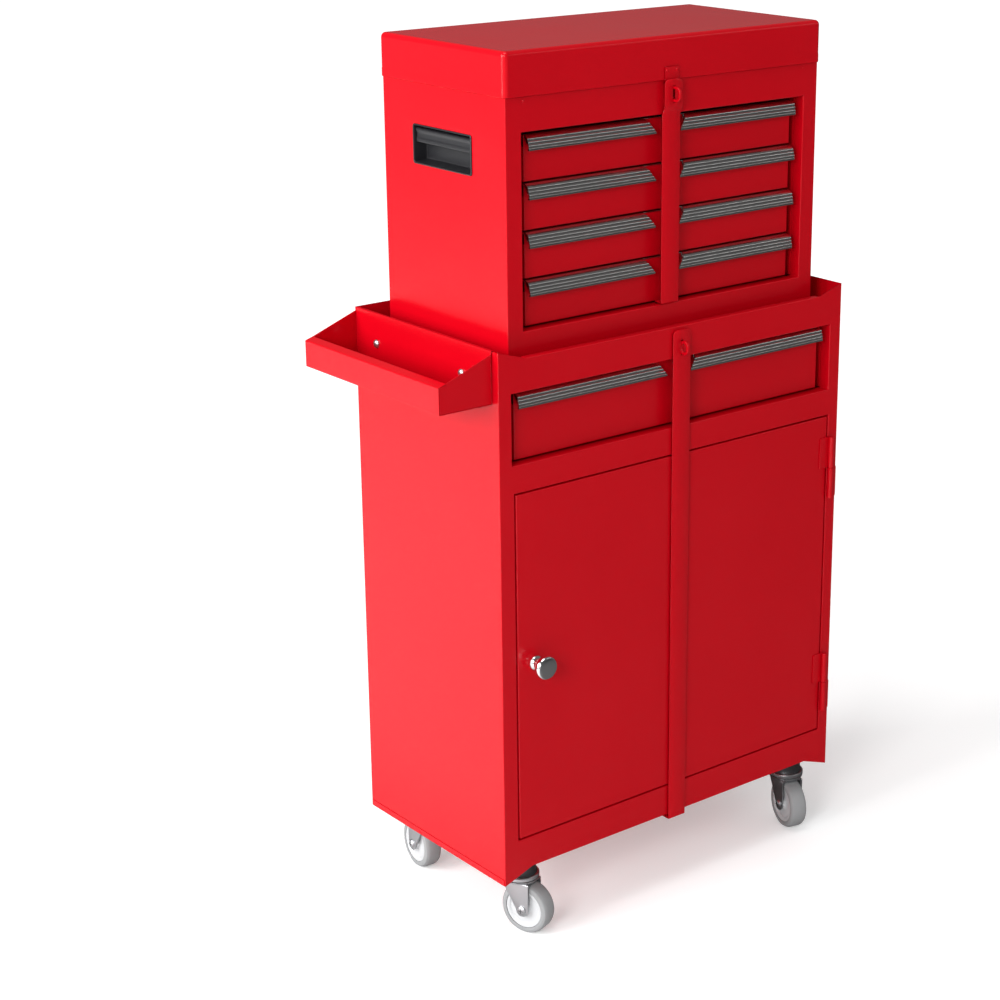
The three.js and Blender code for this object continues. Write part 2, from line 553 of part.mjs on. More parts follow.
const handle = {
  y0: (CHEST.depth - HANDLE.length) / 2 + 1,
  y1: (CHEST.depth + HANDLE.length) / 2 + 1,
  z1: chestHeight - HANDLE.top,
};
handle.z0 = handle.z1 - HANDLE.height;
const handleCut = box(
  -chestHalf - 5, chestHalf + 5, handle.y0, handle.y1, handle.z0, handle.z1);
const backStrip = box(-chestHalf + 5, chestHalf - 5, 0, CHEST.depth, handle.z0 - 1, handle.z1 + 1);
chest.add(part('chest_shell', wrap(chestHalf, CHEST.depth, 0, chestHeight)
  .subtract(handleCut.subtract(backStrip)), paint));
chest.add(part('chest_floor', panel(chestHalf, CHEST.depth, SHEET), paint));

const tillZ = chestBay.top + SHEET + CHEST.till;
chest.add(part('till_floor', panel(chestHalf, CHEST.depth, tillZ), paint));

// The handle's own frame: x is the distance from the chest's middle plane, its grip hangs from a pin at the top.
const grip = {
  x: chestHalf - HANDLE.pinDepth,
  z: handle.z1 - GAP - HANDLE.pinDrop,
  y0: handle.y0 + GAP,
  y1: handle.y1 - GAP,
};

// A moulded cup let into a side, with a rim on the outside and a hole for the grip's pin in each end.
function handleCup() {
  const face = chestHalf + GAP;
  const out = face + HANDLE.proud;
  const deep = face - HANDLE.depth;
  const w = HANDLE.wall;
  const r = HANDLE.rim;
  const [z0, z1] = [handle.z0 + GAP, handle.z1 - GAP];
  return join(
    box(face, out, grip.y0 - r, grip.y1 + r, z0 - r, z1 + r), box(deep, out, grip.y0, grip.y1, z0, z1))
    .subtract(box(deep + w, out + 1, grip.y0 + w, grip.y1 - w, z0 + w, z1 - w))
    .subtract(rod(HANDLE.pin + RUNNING, 'y', grip.y0 - 1, grip.y1 + 1, grip.x, grip.z));
}

// The grip: a flat paddle with a rolled lower edge, on a pin that runs through both ends of its cup.
function handleGrip() {
  const y0 = grip.y0 + HANDLE.wall + RUNNING * 2;
  const y1 = grip.y1 - HANDLE.wall - RUNNING * 2;
  return join(
    rod(HANDLE.pin, 'y', grip.y0 + GAP, grip.y1 - GAP, grip.x, grip.z),
    rod(HANDLE.pin * 1.4, 'y', y0, y1, grip.x, grip.z),
    box(grip.x - HANDLE.paddle / 2, grip.x + HANDLE.paddle / 2, y0, y1, grip.z - HANDLE.grip, grip.z),
    rod(HANDLE.paddle * 0.8, 'y', y0, y1, grip.x, grip.z - HANDLE.grip));
}
for (const [name, body] of [['cup', handleCup()], ['grip', handleGrip()]]) {
  chest.add(part(`handle_${name}_left`, body.mirror([1, 0, 0]), black));
  chest.add(part(`handle_${name}_right`, body, black));
}

// ---------------------------------------------------------------- chest drawers
const chestDrawerHalf = chestBay.right - DRAWER.sideGap;
const clearHeight = CHEST.opening - DRAWER.topGap - DRAWER.bottomGap - (CHEST.drawers - 1) * DRAWER.between;
const drawerHeight = clearHeight / CHEST.drawers;
const drawerDepth = CHEST.depth - SHEET - DRAWER.backRoom - DRAWER.recess;
const chestRunners = [];
for (let i = 0; i < CHEST.drawers; i += 1) {
  const z = chestBay.bottom + DRAWER.bottomGap + (CHEST.drawers - 1 - i) * (drawerHeight + DRAWER.between);
  const drawer = new THREE.Group();
  drawer.position.set(0, DRAWER.recess, z);
  drawer.add(part(`chest_drawer_${i + 1}`, drawerBody(chestDrawerHalf, drawerHeight, drawerDepth), paint));
  drawer.add(part(`chest_drawer_trim_${i + 1}`, drawerTrim(chestDrawerHalf, drawerHeight), bright));
  chest.add(drawer);
  chestRunners.push(z + drawerHeight - DRAWER.runnerDrop);
}
for (const [name, side] of [['left', -1], ['right', 1]]) {
  chest.add(part(`chest_slide_${name}`, rack(
    side, chestBay, CABINET.flange + GAP, CHEST.depth - SHEET - RACK.end, chestRunners), paint));
}

// ---------------------------------------------------------------- upper lock bar and staple
const upperStapleBottom = lidBottom - STAPLE.belowLid - STAPLE.height;
chest.add(part('upper_staple', staple(
  upperStapleBottom, BAR.standoff + BAR.joggle + BAR.thickness + STAPLE.reach), paint));
const joggleTop = lidBottom - UPPER_BAR.joggleBelowLid;
const tongueZ = chestBay.bottom + UPPER_BAR.tongueRise + SHEET / 2;
const upperTop = lidBottom + UPPER_BAR.aboveLidEdge;
const upperSide = join(
  prism(folded([
    [barBack - BAR.joggle, upperTop], [barBack - BAR.joggle, joggleTop],
    [barBack, joggleTop - BAR.joggleRun], [barBack, tongueZ - SHEET / 2],
  ], BAR.thickness), 'x', -BAR.width / 2, BAR.width / 2),
  box(-BAR.width / 2, BAR.width / 2, barBack, UPPER_BAR.tongue, tongueZ - SHEET / 2, tongueZ + SHEET / 2));
const upperFace = roundedRectangle(-BAR.width / 2, BAR.width / 2, 0, upperTop, BAR.corner);
chest.add(part('upper_lock_bar', upperSide
  .intersect(prism(upperFace, 'y', -BAR.thickness * 10, BAR.thickness * 10))
  .subtract(box(
    -BAR.slotWidth / 2, BAR.slotWidth / 2, -BAR.thickness * 10, -SHEET / 2,
    upperStapleBottom - BAR.slotSlack, upperStapleBottom + STAPLE.height + BAR.slotSlack)), paint));

// ---------------------------------------------------------------- lid
const lidHalf = chestHalf + LID.overhang;
const lidFront = -LID.overhang;
const lidBack = CHEST.depth + LID.overhang;
const lidOutline = roundedRectangle(-lidHalf, lidHalf, lidFront, lidBack, LID.corner);
const lidHollow = roundedRectangle(
  -lidHalf + SHEET, lidHalf - SHEET, lidFront + SHEET, lidBack - SHEET, LID.corner - SHEET);
chest.add(part('lid', prism(lidOutline, 'z', lidBottom, lidTop)
  .subtract(prism(lidHollow, 'z', lidBottom - 1, lidTop - SHEET)), paint));

// The lid's tab hangs behind the lock bar, with a notch that straddles the staple.
const tabOuter = lidFront - GAP - LID_TAB.thickness / 2;
const tabInner = -0.5 - LID_TAB.thickness / 2;
const tabPath = [
  [tabOuter, lidBottom + LID_TAB.above], [tabOuter, lidBottom - 1.5], [tabInner, lidBottom - 4],
  [tabInner, lidBottom - LID_TAB.below],
];
const notch = BAR.slotWidth / 2;
chest.add(part('lid_tab', prism(
  folded(tabPath, LID_TAB.thickness), 'x', -LID_TAB.width / 2, LID_TAB.width / 2)
  .subtract(box(
    -notch, notch, -20, 5, lidBottom - LID_TAB.below - 1,
    upperStapleBottom + STAPLE.height + BAR.slotSlack)), paint));

// A hinge along the back: knuckles in turn on the chest's leaf, which carries the pin, and on the lid's leaf.
const hingeAxis = { y: lidBack + GAP + LID_HINGE.radius, z: lidBottom - LID_HINGE.drop };
const knucklePitch = LID_HINGE.length / LID_HINGE.knuckles;
const knuckle = (i) => {
  const start = -LID_HINGE.length / 2 + i * knucklePitch;
  return [start + LID_HINGE.knuckleGap / 2, start + knucklePitch - LID_HINGE.knuckleGap / 2];
};
const chestLeafY = CHEST.depth + GAP;
const leafEnd = LID_HINGE.length / 2;
const step = hingeAxis.z - LID_HINGE.radius - SHEET;
const fixedLeaf = [box(-leafEnd, leafEnd, chestLeafY, chestLeafY + SHEET, step - LID_HINGE.leaf, step + SHEET)];
const movingLeaf = [box(
  -leafEnd + knucklePitch, leafEnd - knucklePitch, hingeAxis.y - LID_HINGE.radius,
  hingeAxis.y - LID_HINGE.radius + SHEET, hingeAxis.z + LID_HINGE.radius + GAP, hingeAxis.z + LID_HINGE.leaf)];
for (let i = 0; i < LID_HINGE.knuckles; i += 1) {
  const [from, to] = knuckle(i);
  const barrel = rod(LID_HINGE.radius, 'x', from, to, hingeAxis.y, hingeAxis.z, 12);
  if (i % 2 === 0) {
    fixedLeaf.push(barrel, box(
      from, to, chestLeafY, hingeAxis.y + SHEET, step, hingeAxis.z - LID_HINGE.radius + SHEET));
  } else {
    const tangent = box(
      from, to, hingeAxis.y - LID_HINGE.radius, hingeAxis.y - LID_HINGE.radius + SHEET,
      hingeAxis.z, hingeAxis.z + LID_HINGE.leaf);
    movingLeaf.push(join(barrel, tangent).subtract(rod(
      LID_HINGE.pin + RUNNING, 'x', from - 1, to + 1, hingeAxis.y, hingeAxis.z, 12)));
  }
}
fixedLeaf.push(rod(
  LID_HINGE.pin, 'x', -leafEnd + LID_HINGE.knuckleGap, leafEnd - LID_HINGE.knuckleGap,
  hingeAxis.y, hingeAxis.z, 12));
chest.add(part('lid_hinge_chest_leaf', join(...fixedLeaf), zinc));
chest.add(part('lid_hinge_lid_leaf', join(...movingLeaf), zinc));

// ---------------------------------------------------------------- the whole, on its bottom centre
// The origin is on the floor, in the middle of the width with the tray and of the depth with the knob.
const toolChest = new THREE.Group();
cabinet.add(chest);
toolChest.add(cabinet);
cabinet.position.set(TRAY.reach / 2, -(CABINET.depth - KNOB.reach) / 2, 0);
export default toolChest;
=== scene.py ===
"""A red rolling tool chest: folded sheet steel, ribbed aluminium pulls, lock bars and swivel casters.

Lengths inside the makers are millimetres from the cabinet's front face at floor level, in the middle of
its width: x to the right, y to the back, z up. Surfaces are built as numpy arrays and placed in metres.
"""
import json
import math

import bmesh
import bpy
import numpy as np
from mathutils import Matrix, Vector


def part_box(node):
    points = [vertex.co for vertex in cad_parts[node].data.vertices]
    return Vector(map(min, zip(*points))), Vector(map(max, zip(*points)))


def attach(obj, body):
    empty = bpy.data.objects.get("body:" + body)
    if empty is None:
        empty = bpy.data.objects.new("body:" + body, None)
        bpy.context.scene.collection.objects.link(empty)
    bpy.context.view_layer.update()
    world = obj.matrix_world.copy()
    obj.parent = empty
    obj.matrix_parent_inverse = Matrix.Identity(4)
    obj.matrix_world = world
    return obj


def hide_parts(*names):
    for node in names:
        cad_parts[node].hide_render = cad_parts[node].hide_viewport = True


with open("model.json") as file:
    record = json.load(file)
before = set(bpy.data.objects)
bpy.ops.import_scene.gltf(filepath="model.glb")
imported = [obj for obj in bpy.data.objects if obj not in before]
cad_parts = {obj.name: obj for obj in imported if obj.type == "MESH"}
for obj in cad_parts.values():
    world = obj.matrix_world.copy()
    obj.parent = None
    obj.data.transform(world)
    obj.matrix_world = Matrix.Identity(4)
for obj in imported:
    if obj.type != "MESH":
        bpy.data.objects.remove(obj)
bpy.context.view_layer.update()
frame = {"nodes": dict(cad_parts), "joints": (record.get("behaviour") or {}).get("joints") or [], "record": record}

bl_info = {
    "name": "Rolling tool chest",
    "version": (1, 0, 0),
    "blender": (4, 5, 0),
    "location": "3D View > Sidebar > Tool chest",
    "description": "Builds the pieces, finishes and stage of a rolling tool chest",
    "category": "Object",
}

MM = 0.001
FRONT_LOW, FRONT_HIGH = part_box("cabinet_front_frame")
DATUM = np.array([(FRONT_LOW.x + FRONT_HIGH.x) / 2, FRONT_LOW.y, 0.0])
JOINTS = {joint["name"]: joint for joint in frame["joints"]}
CASTERS = ("front_left", "front_right", "back_left", "back_right")
BEND = 0.9  # rounding of a folded edge
FLANGE = 14.0  # how far the sheet is folded back round an opening
SHEET = 1.0  # sheet thickness
BAR_CORNER = 6.0  # round corners at a lock bar's head
BAR_FOLD, BAR_SHEET = 1.2, 2.8  # a lock bar's rounding and thickness
BAR_SLACK = 0.8  # room between a staple and the slot round it
BAR_STEP, BAR_STEP_RUN = 4.0, 8.0  # how far a bar steps forward, and over what height


# ---------------------------------------------------------------- settings
class ToolChestSizes(bpy.types.PropertyGroup):
    """Sizes a user would change."""
    bend: bpy.props.FloatProperty(
        name="Bend radius", description="Rounding of every folded edge", unit="LENGTH", precision=4,
        default=BEND * MM, min=0.1 * MM)
    ribs: bpy.props.IntProperty(
        name="Pull ribs", description="Ribs along each drawer pull", default=3, min=1)
    rib_height: bpy.props.FloatProperty(
        name="Rib height", description="Height of a pull's ribs", unit="LENGTH", precision=4,
        default=0.8 * MM, min=0.0)
    lid_edge: bpy.props.FloatProperty(
        name="Lid edge", description="Rounding of the lid's top edge", unit="LENGTH", precision=4,
        default=5.5 * MM, min=0.5 * MM)
    hem: bpy.props.FloatProperty(
        name="Hem", description="Height of the folded hem on the lid and the sides", unit="LENGTH",
        precision=4, default=9.0 * MM, min=MM)


class ToolChestColours(bpy.types.PropertyGroup):
    """Colours a user would change."""
    paint: bpy.props.FloatVectorProperty(
        name="Paint", description="Powder coat", subtype="COLOR", default=(0.47, 0.0006, 0.006))
    pull: bpy.props.FloatVectorProperty(
        name="Pulls", description="Aluminium of the drawer pulls", subtype="COLOR",
        default=(0.58, 0.57, 0.56))
    plastic: bpy.props.FloatVectorProperty(
        name="Plastic", description="Handles and catch", subtype="COLOR", default=(0.011, 0.011, 0.013))
    tyre: bpy.props.FloatVectorProperty(
        name="Tyres", description="Grey rubber", subtype="COLOR", default=(0.27, 0.275, 0.28))
    hub: bpy.props.FloatVectorProperty(
        name="Hubs", description="Pale nylon", subtype="COLOR", default=(0.50, 0.51, 0.52))


def sizes():
    return bpy.context.scene.tool_chest_sizes


def size(name):
    """A length from the settings, in millimetres."""
    return getattr(sizes(), name) / MM


def colours():
    return bpy.context.scene.tool_chest_colours


# ---------------------------------------------------------------- places
def corners(node):
    """A node's lowest and highest corners, in millimetres from the datum."""
    return [(np.array(corner) - DATUM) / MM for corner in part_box(node)]


def local(point):
    """A joint's point, in millimetres from the datum."""
    return (np.array(point) - DATUM) / MM


# ---------------------------------------------------------------- surfaces as arrays
def rounded(points, radius, steps=4):
    """Each corner P becomes a curve (1-t)^2 A + 2t(1-t) P + t^2 B, where A and B lie on its two sides
    at the radius from it, or at 45% of the shorter side where that is less."""
    points = np.asarray(points, float)
    before = np.roll(points, 1, axis=0) - points
    after = np.roll(points, -1, axis=0) - points
    shorter = np.minimum(np.linalg.norm(before, axis=1), np.linalg.norm(after, axis=1))
    reach = np.minimum(radius, shorter * 0.45)
    start = points + before * (reach / np.linalg.norm(before, axis=1))[:, None]
    end = points + after * (reach / np.linalg.norm(after, axis=1))[:, None]
    t = np.linspace(0, 1, steps + 1)[None, :, None]
    curve = (1 - t) ** 2 * start[:, None] + 2 * t * (1 - t) * points[:, None] + t ** 2 * end[:, None]
    return curve.reshape(-1, points.shape[1])


def rectangle_loop(low, high, radius, steps=6):
    """A rectangle from its two corners, with rounded corners, as a closed loop in its own plane."""
    (a0, b0), (a1, b1) = low, high
    turn = np.linspace(0, math.pi / 2, steps + 1)
    quarter = np.arange(4)[:, None] * math.pi / 2 + turn[None, :]
    centre_a = np.array([a1 - radius, a0 + radius, a0 + radius, a1 - radius])[:, None]
    centre_b = np.array([b1 - radius, b1 - radius, b0 + radius, b0 + radius])[:, None]
    return np.stack(
        [centre_a + radius * np.cos(quarter), centre_b + radius * np.sin(quarter)], axis=-1).reshape(-1, 2)


def circle_loop(radius, segments):
    """A circle about (0, 0) as a closed loop: radius times (cos a, sin a)."""
    angle = np.arange(segments) * 2 * math.pi / segments
    return radius * np.stack([np.cos(angle), np.sin(angle)], axis=1)


def upright(plane, loop, height):
    """A flat loop as 3-D points: plane 'xy' stands at z = height, 'xz' at y = height, 'yz' at x = height."""
    level = np.broadcast_to(height, len(loop))
    order = {"xy": (0, 1, 2), "xz": (0, 2, 1), "yz": (1, 2, 0)}[plane]
    out = np.empty((len(loop), 3))
    out[:, order[0]], out[:, order[1]], out[:, order[2]] = loop[:, 0], loop[:, 1], level
    return out


def sheet_grid(points, keep=None):
    """A surface on a grid of points (rows, columns, 3): one quad for each cell that is kept."""
    rows, columns = points.shape[:2]
    number = np.arange(rows * columns).reshape(rows, columns)
    quads = np.stack([number[:-1, :-1], number[:-1, 1:], number[1:, 1:], number[1:, :-1]], axis=-1)
    if keep is not None:
        quads = quads[keep]
    return points.reshape(-1, 3), quads.reshape(-1, 4).tolist()


def loops_skin(loops, cap_first=False, cap_last=False):
    """A surface through a stack of closed loops (loop, point, 3), each joined to the next; caps are flat."""
    loops = np.asarray(loops)
    count, length = loops.shape[:2]
    number = np.arange(count * length).reshape(count, length)
    beside = np.roll(number, -1, axis=1)
    quads = np.stack([number[:-1], beside[:-1], beside[1:], number[1:]], axis=-1).reshape(-1, 4).tolist()
    if cap_first:
        quads.append(number[0][::-1].tolist())
    if cap_last:
        quads.append(number[-1].tolist())
    return loops.reshape(-1, 3), quads


def carried(plane, outline, start, end):
    """A closed outline carried straight from one height to another, with both ends closed. start and end
    may be arrays, one height for each point, for an end cut at a slant."""
    return loops_skin([upright(plane, outline, start), upright(plane, outline, end)], True, True)


def ringed(plane, low, high, corner, profile, cap_first=False, cap_last=True):
    """A profile of (inset, height) points carried round a rounded rectangle: each point gives one loop,
    which is the rectangle moved in by the inset, its corner radius less the inset, and never under 0.3."""
    loops = [
        upright(plane, rectangle_loop(
            np.add(low, inset), np.subtract(high, inset), max(corner - inset, 0.3)), height)
        for inset, height in profile]
    return loops_skin(loops, cap_first, cap_last)


def turned(profile, segments=48, plane="xy", centre=(0, 0)):
    """A profile of (radius, height) points turned about an axis through the centre, a circle for each."""
    loops = [upright(plane, circle_loop(max(radius, 0.01), segments) + np.asarray(centre), height)
             for radius, height in profile]
    return loops_skin(loops, True, True)


def strap(path, half_width, columns, slots=()):
    """A strip across x along a path of (y, z) points: half_width is its half width at each point, and
    columns the places across it, as parts of the half width. slots: (row, column) cells left out."""
    path = np.asarray(path, float)
    out = np.empty((len(path), len(columns), 3))
    out[..., 0] = np.asarray(half_width, float)[:, None] * np.asarray(columns, float)
    out[..., 1:] = path[:, None]
    keep = np.ones((len(path) - 1, len(columns) - 1), bool)
    for row, column in slots:
        keep[row, column] = False
    return sheet_grid(out, keep)


def moved(surface, matrix=None, shift=(0, 0, 0)):
    """A surface turned by a 3 x 3 matrix, then shifted."""
    points, faces = surface
    if matrix is not None:
        points = points @ np.asarray(matrix).T
    return points + np.asarray(shift, float), faces


def mirrored(surface):
    """A surface reflected in x, with its faces turned back to face outwards."""
    points, faces = surface
    return points * np.array([-1, 1, 1]), [face[::-1] for face in faces]


# ---------------------------------------------------------------- objects
def piece(name, surfaces, material, body, stands_for=(), bevel=0.0, segments=3,
          thickness=0.0, outward=None, angle=30):
    """Joins surfaces into one mesh in metres. Doubled points are merged and faces turned to one side; with
    outward given, the face furthest that way must face that way. A sheet is bent by the bevel, and then
    given its thickness on its inner side; a solid is only bevelled."""
    starts = np.cumsum([0] + [len(points) for points, _ in surfaces[:-1]])
    points = np.vstack([points for points, _ in surfaces]) * MM + DATUM
    faces = [[index + start for index in face]
             for (_, part), start in zip(surfaces, starts) for face in part]
    mesh = bpy.data.meshes.new(name)
    mesh.from_pydata(points.tolist(), [], faces)
    shape = bmesh.new()
    shape.from_mesh(mesh)
    bmesh.ops.remove_doubles(shape, verts=shape.verts, dist=2e-6)
    bmesh.ops.dissolve_degenerate(shape, edges=shape.edges, dist=1e-7)
    bmesh.ops.recalc_face_normals(shape, faces=shape.faces)
    if outward is not None:
        way = Vector(outward)
        far = max(shape.faces, key=lambda face: face.calc_center_median().dot(way))
        if far.normal.dot(way) < 0:
            bmesh.ops.reverse_faces(shape, faces=shape.faces)
    shape.to_mesh(mesh)
    shape.free()
    mesh.polygons.foreach_set("use_smooth", np.ones(len(mesh.polygons), bool))
    mesh.set_sharp_from_angle(angle=math.radians(angle))
    mesh.materials.append(material)
    made = bpy.data.objects.new(name, mesh)
    bpy.context.scene.collection.objects.link(made)
    if bevel:
        fold = made.modifiers.new("fold", "BEVEL")
        fold.width, fold.segments, fold.limit_method = bevel * MM, segments, "ANGLE"
        fold.angle_limit = math.radians(angle)
        fold.use_clamp_overlap = True
    if thickness:
        solid = made.modifiers.new("sheet", "SOLIDIFY")
        solid.thickness, solid.offset = thickness * MM, -1
    if bevel or thickness:
        made.modifiers.new("shade", "WEIGHTED_NORMAL").keep_sharp = True
    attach(made, body)
    if stands_for:
        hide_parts(*stands_for)
    return made


# ---------------------------------------------------------------- finishes
def new_group(name, inputs, outputs):
    """A shader node group with float inputs (name, default) and outputs (name, socket type)."""
    group = bpy.data.node_groups.new(name, "ShaderNodeTree")
    for label, default in inputs:
        socket = group.interface.new_socket(label, in_out="INPUT", socket_type="NodeSocketFloat")
        socket.default_value = default
    for label, kind in outputs:
        group.interface.new_socket(label, in_out="OUTPUT", socket_type=kind)
    return group, group.nodes.new("NodeGroupInput"), group.nodes.new("NodeGroupOutput")


def noise(tree, scale, detail=3.0, vector=None):
    """A noise texture on object coordinates, or on a given vector."""
    node = tree.nodes.new("ShaderNodeTexNoise")
    node.inputs["Scale"].default_value = scale
    node.inputs["Detail"].default_value = detail
    if vector is None:
        vector = tree.nodes.new("ShaderNodeTexCoord").outputs["Object"]
    tree.links.new(vector, node.inputs["Vector"])
    return node


def calculate(tree, operation, first, second):
    """A math node over two sockets or numbers."""
    node = tree.nodes.new("ShaderNodeMath")
    node.operation = operation
    for socket, value in zip(node.inputs, (first, second)):
        if isinstance(value, (int, float)):
            socket.default_value = value
        else:
            tree.links.new(value, socket)
    return node.outputs[0]


def texture_group():
    """Fine texture shared by every finish: a small bumpy height, and a broad mask of handling marks."""
    group = bpy.data.node_groups.get("FineTexture")
    if group:
        return group
    group, given, result = new_group("FineTexture", [("Grain Scale", 900.0), ("Mark Scale", 7.0)],
                                     [("Height", "NodeSocketFloat"), ("Marks", "NodeSocketFloat")])
    grain, marks = noise(group, 900.0, 2.0), noise(group, 7.0, 5.0)
    group.links.new(given.outputs["Grain Scale"], grain.inputs["Scale"])
    group.links.new(given.outputs["Mark Scale"], marks.inputs["Scale"])
    group.links.new(grain.outputs["Fac"], result.inputs["Height"])
    group.links.new(marks.outputs["Fac"], result.inputs["Marks"])
    return group


def brushed_group():
    """Long fine scratches along x: noise on coordinates squeezed across the brushing."""
    group = bpy.data.node_groups.get("Brushed")
    if group:
        return group
    group, given, result = new_group("Brushed", [("Line Scale", 1400.0)], [("Lines", "NodeSocketFloat")])
    stretch = group.nodes.new("ShaderNodeMapping")
    stretch.inputs["Scale"].default_value = (0.001, 1.0, 1.0)
    group.links.new(group.nodes.new("ShaderNodeTexCoord").outputs["Object"], stretch.inputs["Vector"])
    lines = noise(group, 1400.0, 2.0, stretch.outputs["Vector"])
    group.links.new(given.outputs["Line Scale"], lines.inputs["Scale"])
    group.links.new(lines.outputs["Fac"], result.inputs["Lines"])
    return group


def finish(name, colour, roughness, metallic=0.0, grain=900.0, bump=0.02, marks=0.08, specular=0.5,
           brushed=False, shade=0.12):
    """A finish: base colour darkened and lightened by the marks up to the shade, roughness spread by them,
    and a fine bump from the grain or from the brushing."""
    material = bpy.data.materials.get(name)
    if material:
        return material
    material = bpy.data.materials.new(name)
    material.use_nodes = True
    tree = material.node_tree
    shader = tree.nodes["Principled BSDF"]
    shader.inputs["Metallic"].default_value = metallic
    shader.inputs["Specular IOR Level"].default_value = specular
    texture = tree.nodes.new("ShaderNodeGroup")
    texture.node_tree = texture_group()
    texture.inputs["Grain Scale"].default_value = grain
    blend = tree.nodes.new("ShaderNodeMix")
    blend.data_type = "RGBA"
    blend.inputs["A"].default_value = (*[c * (1 - shade) for c in colour], 1)
    blend.inputs["B"].default_value = (*[min(c * (1 + shade), 1) for c in colour], 1)
    tree.links.new(texture.outputs["Marks"], blend.inputs["Factor"])
    tree.links.new(blend.outputs["Result"], shader.inputs["Base Color"])
    spread = calculate(tree, "MULTIPLY", texture.outputs["Marks"], 2 * marks)
    tree.links.new(calculate(tree, "ADD", spread, roughness - marks), shader.inputs["Roughness"])
    height = texture.outputs["Height"]
    if brushed:
        lines = tree.nodes.new("ShaderNodeGroup")
        lines.node_tree = brushed_group()
        height = lines.outputs["Lines"]
    bumped = tree.nodes.new("ShaderNodeBump")
    bumped.inputs["Strength"].default_value = bump
    bumped.inputs["Distance"].default_value = 0.0005
    tree.links.new(height, bumped.inputs["Height"])
    tree.links.new(bumped.outputs["Normal"], shader.inputs["Normal"])
    return material


def powder_coat():
    return finish("PowderCoat", colours().paint, 0.22, bump=0.04, grain=700.0, marks=0.04, specular=0.24,
                  shade=0.04)


def pull_aluminium():
    return finish("PullAluminium", colours().pull, 0.2, metallic=1.0, bump=0.04, brushed=True, shade=0.08)


def polished_chrome():
    return finish("PolishedChrome", (0.82, 0.82, 0.83), 0.08, metallic=1.0, bump=0.01, marks=0.03,
                  shade=0.05)


def zinc_plate():
    return finish("ZincPlate", (0.60, 0.61, 0.63), 0.36, metallic=1.0, bump=0.05, grain=500.0)


# Dark steel for the caster necks; on the screw heads the same finish is painted shade, standing in for the
# recesses of the cross slots.
def dark_steel_and_slot_shade():
    return finish("DarkSteelAndSlotShade", (0.09, 0.09, 0.095), 0.42, metallic=0.8, bump=0.05, grain=500.0, shade=0.2)


def moulded_plastic():
    return finish("MouldedPlastic", colours().plastic, 0.32, bump=0.1, grain=1600.0, shade=0.15)


def hub_nylon():
    return finish("HubNylon", colours().hub, 0.38, bump=0.04, grain=800.0, shade=0.05)


def tyre_rubber():
    return finish("TyreRubber", colours().tyre, 0.6, bump=0.15, shade=0.1, specular=0.35)


def ramp(tree, value, start, end, low, high):
    """A value carried from the range start..end to the range low..high, and held at its ends."""
    node = tree.nodes.new("ShaderNodeMapRange")
    for socket, number in (("From Min", start), ("From Max", end), ("To Min", low), ("To Max", high)):
        node.inputs[socket].default_value = number
    tree.links.new(value, node.inputs["Value"])
    return node.outputs["Result"]


def pale_floor():
    """The stage's floor: matt and pale; where it is seen directly, brighter with distance; in reflections,
    darker towards the right, as if that side of the room were dim."""
    material = finish("PaleFloor", (0.8, 0.8, 0.8), 0.8, bump=0.01, shade=0.005, specular=0.1)
    tree = material.node_tree
    ray = tree.nodes.new("ShaderNodeLightPath")
    place = tree.nodes.new("ShaderNodeTexCoord").outputs["Object"]
    split = tree.nodes.new("ShaderNodeSeparateXYZ")
    tree.links.new(place, split.inputs["Vector"])
    shader = tree.nodes["Principled BSDF"]
    dimmed = tree.nodes.new("ShaderNodeMix")
    dimmed.data_type = "RGBA"
    dimmed.inputs["B"].default_value = (0.02, 0.02, 0.02, 1)
    tree.links.new(shader.inputs["Base Color"].links[0].from_socket, dimmed.inputs["A"])
    right = ramp(tree, split.outputs["X"], -0.45, 0.0, 0.0, 0.9)
    tree.links.new(calculate(tree, "MULTIPLY", ray.outputs["Is Glossy Ray"], right), dimmed.inputs["Factor"])
    tree.links.new(dimmed.outputs["Result"], shader.inputs["Base Color"])
    reach = tree.nodes.new("ShaderNodeVectorMath")
    reach.operation = "LENGTH"
    tree.links.new(place, reach.inputs[0])
    glow = ramp(tree, reach.outputs["Value"], 0.9, 3.5, 0.32, 0.7)
    shader.inputs["Emission Color"].default_value = (1, 1, 1, 1)
    tree.links.new(calculate(tree, "MULTIPLY", ray.outputs["Is Camera Ray"], glow),
                   shader.inputs["Emission Strength"])
    return material


FINISH_OF_SLOT = {
    "red_paint": powder_coat, "trim": pull_aluminium, "chrome": polished_chrome, "zinc": zinc_plate,
    "black_plastic": moulded_plastic, "hub": hub_nylon, "tyre": tyre_rubber,
}


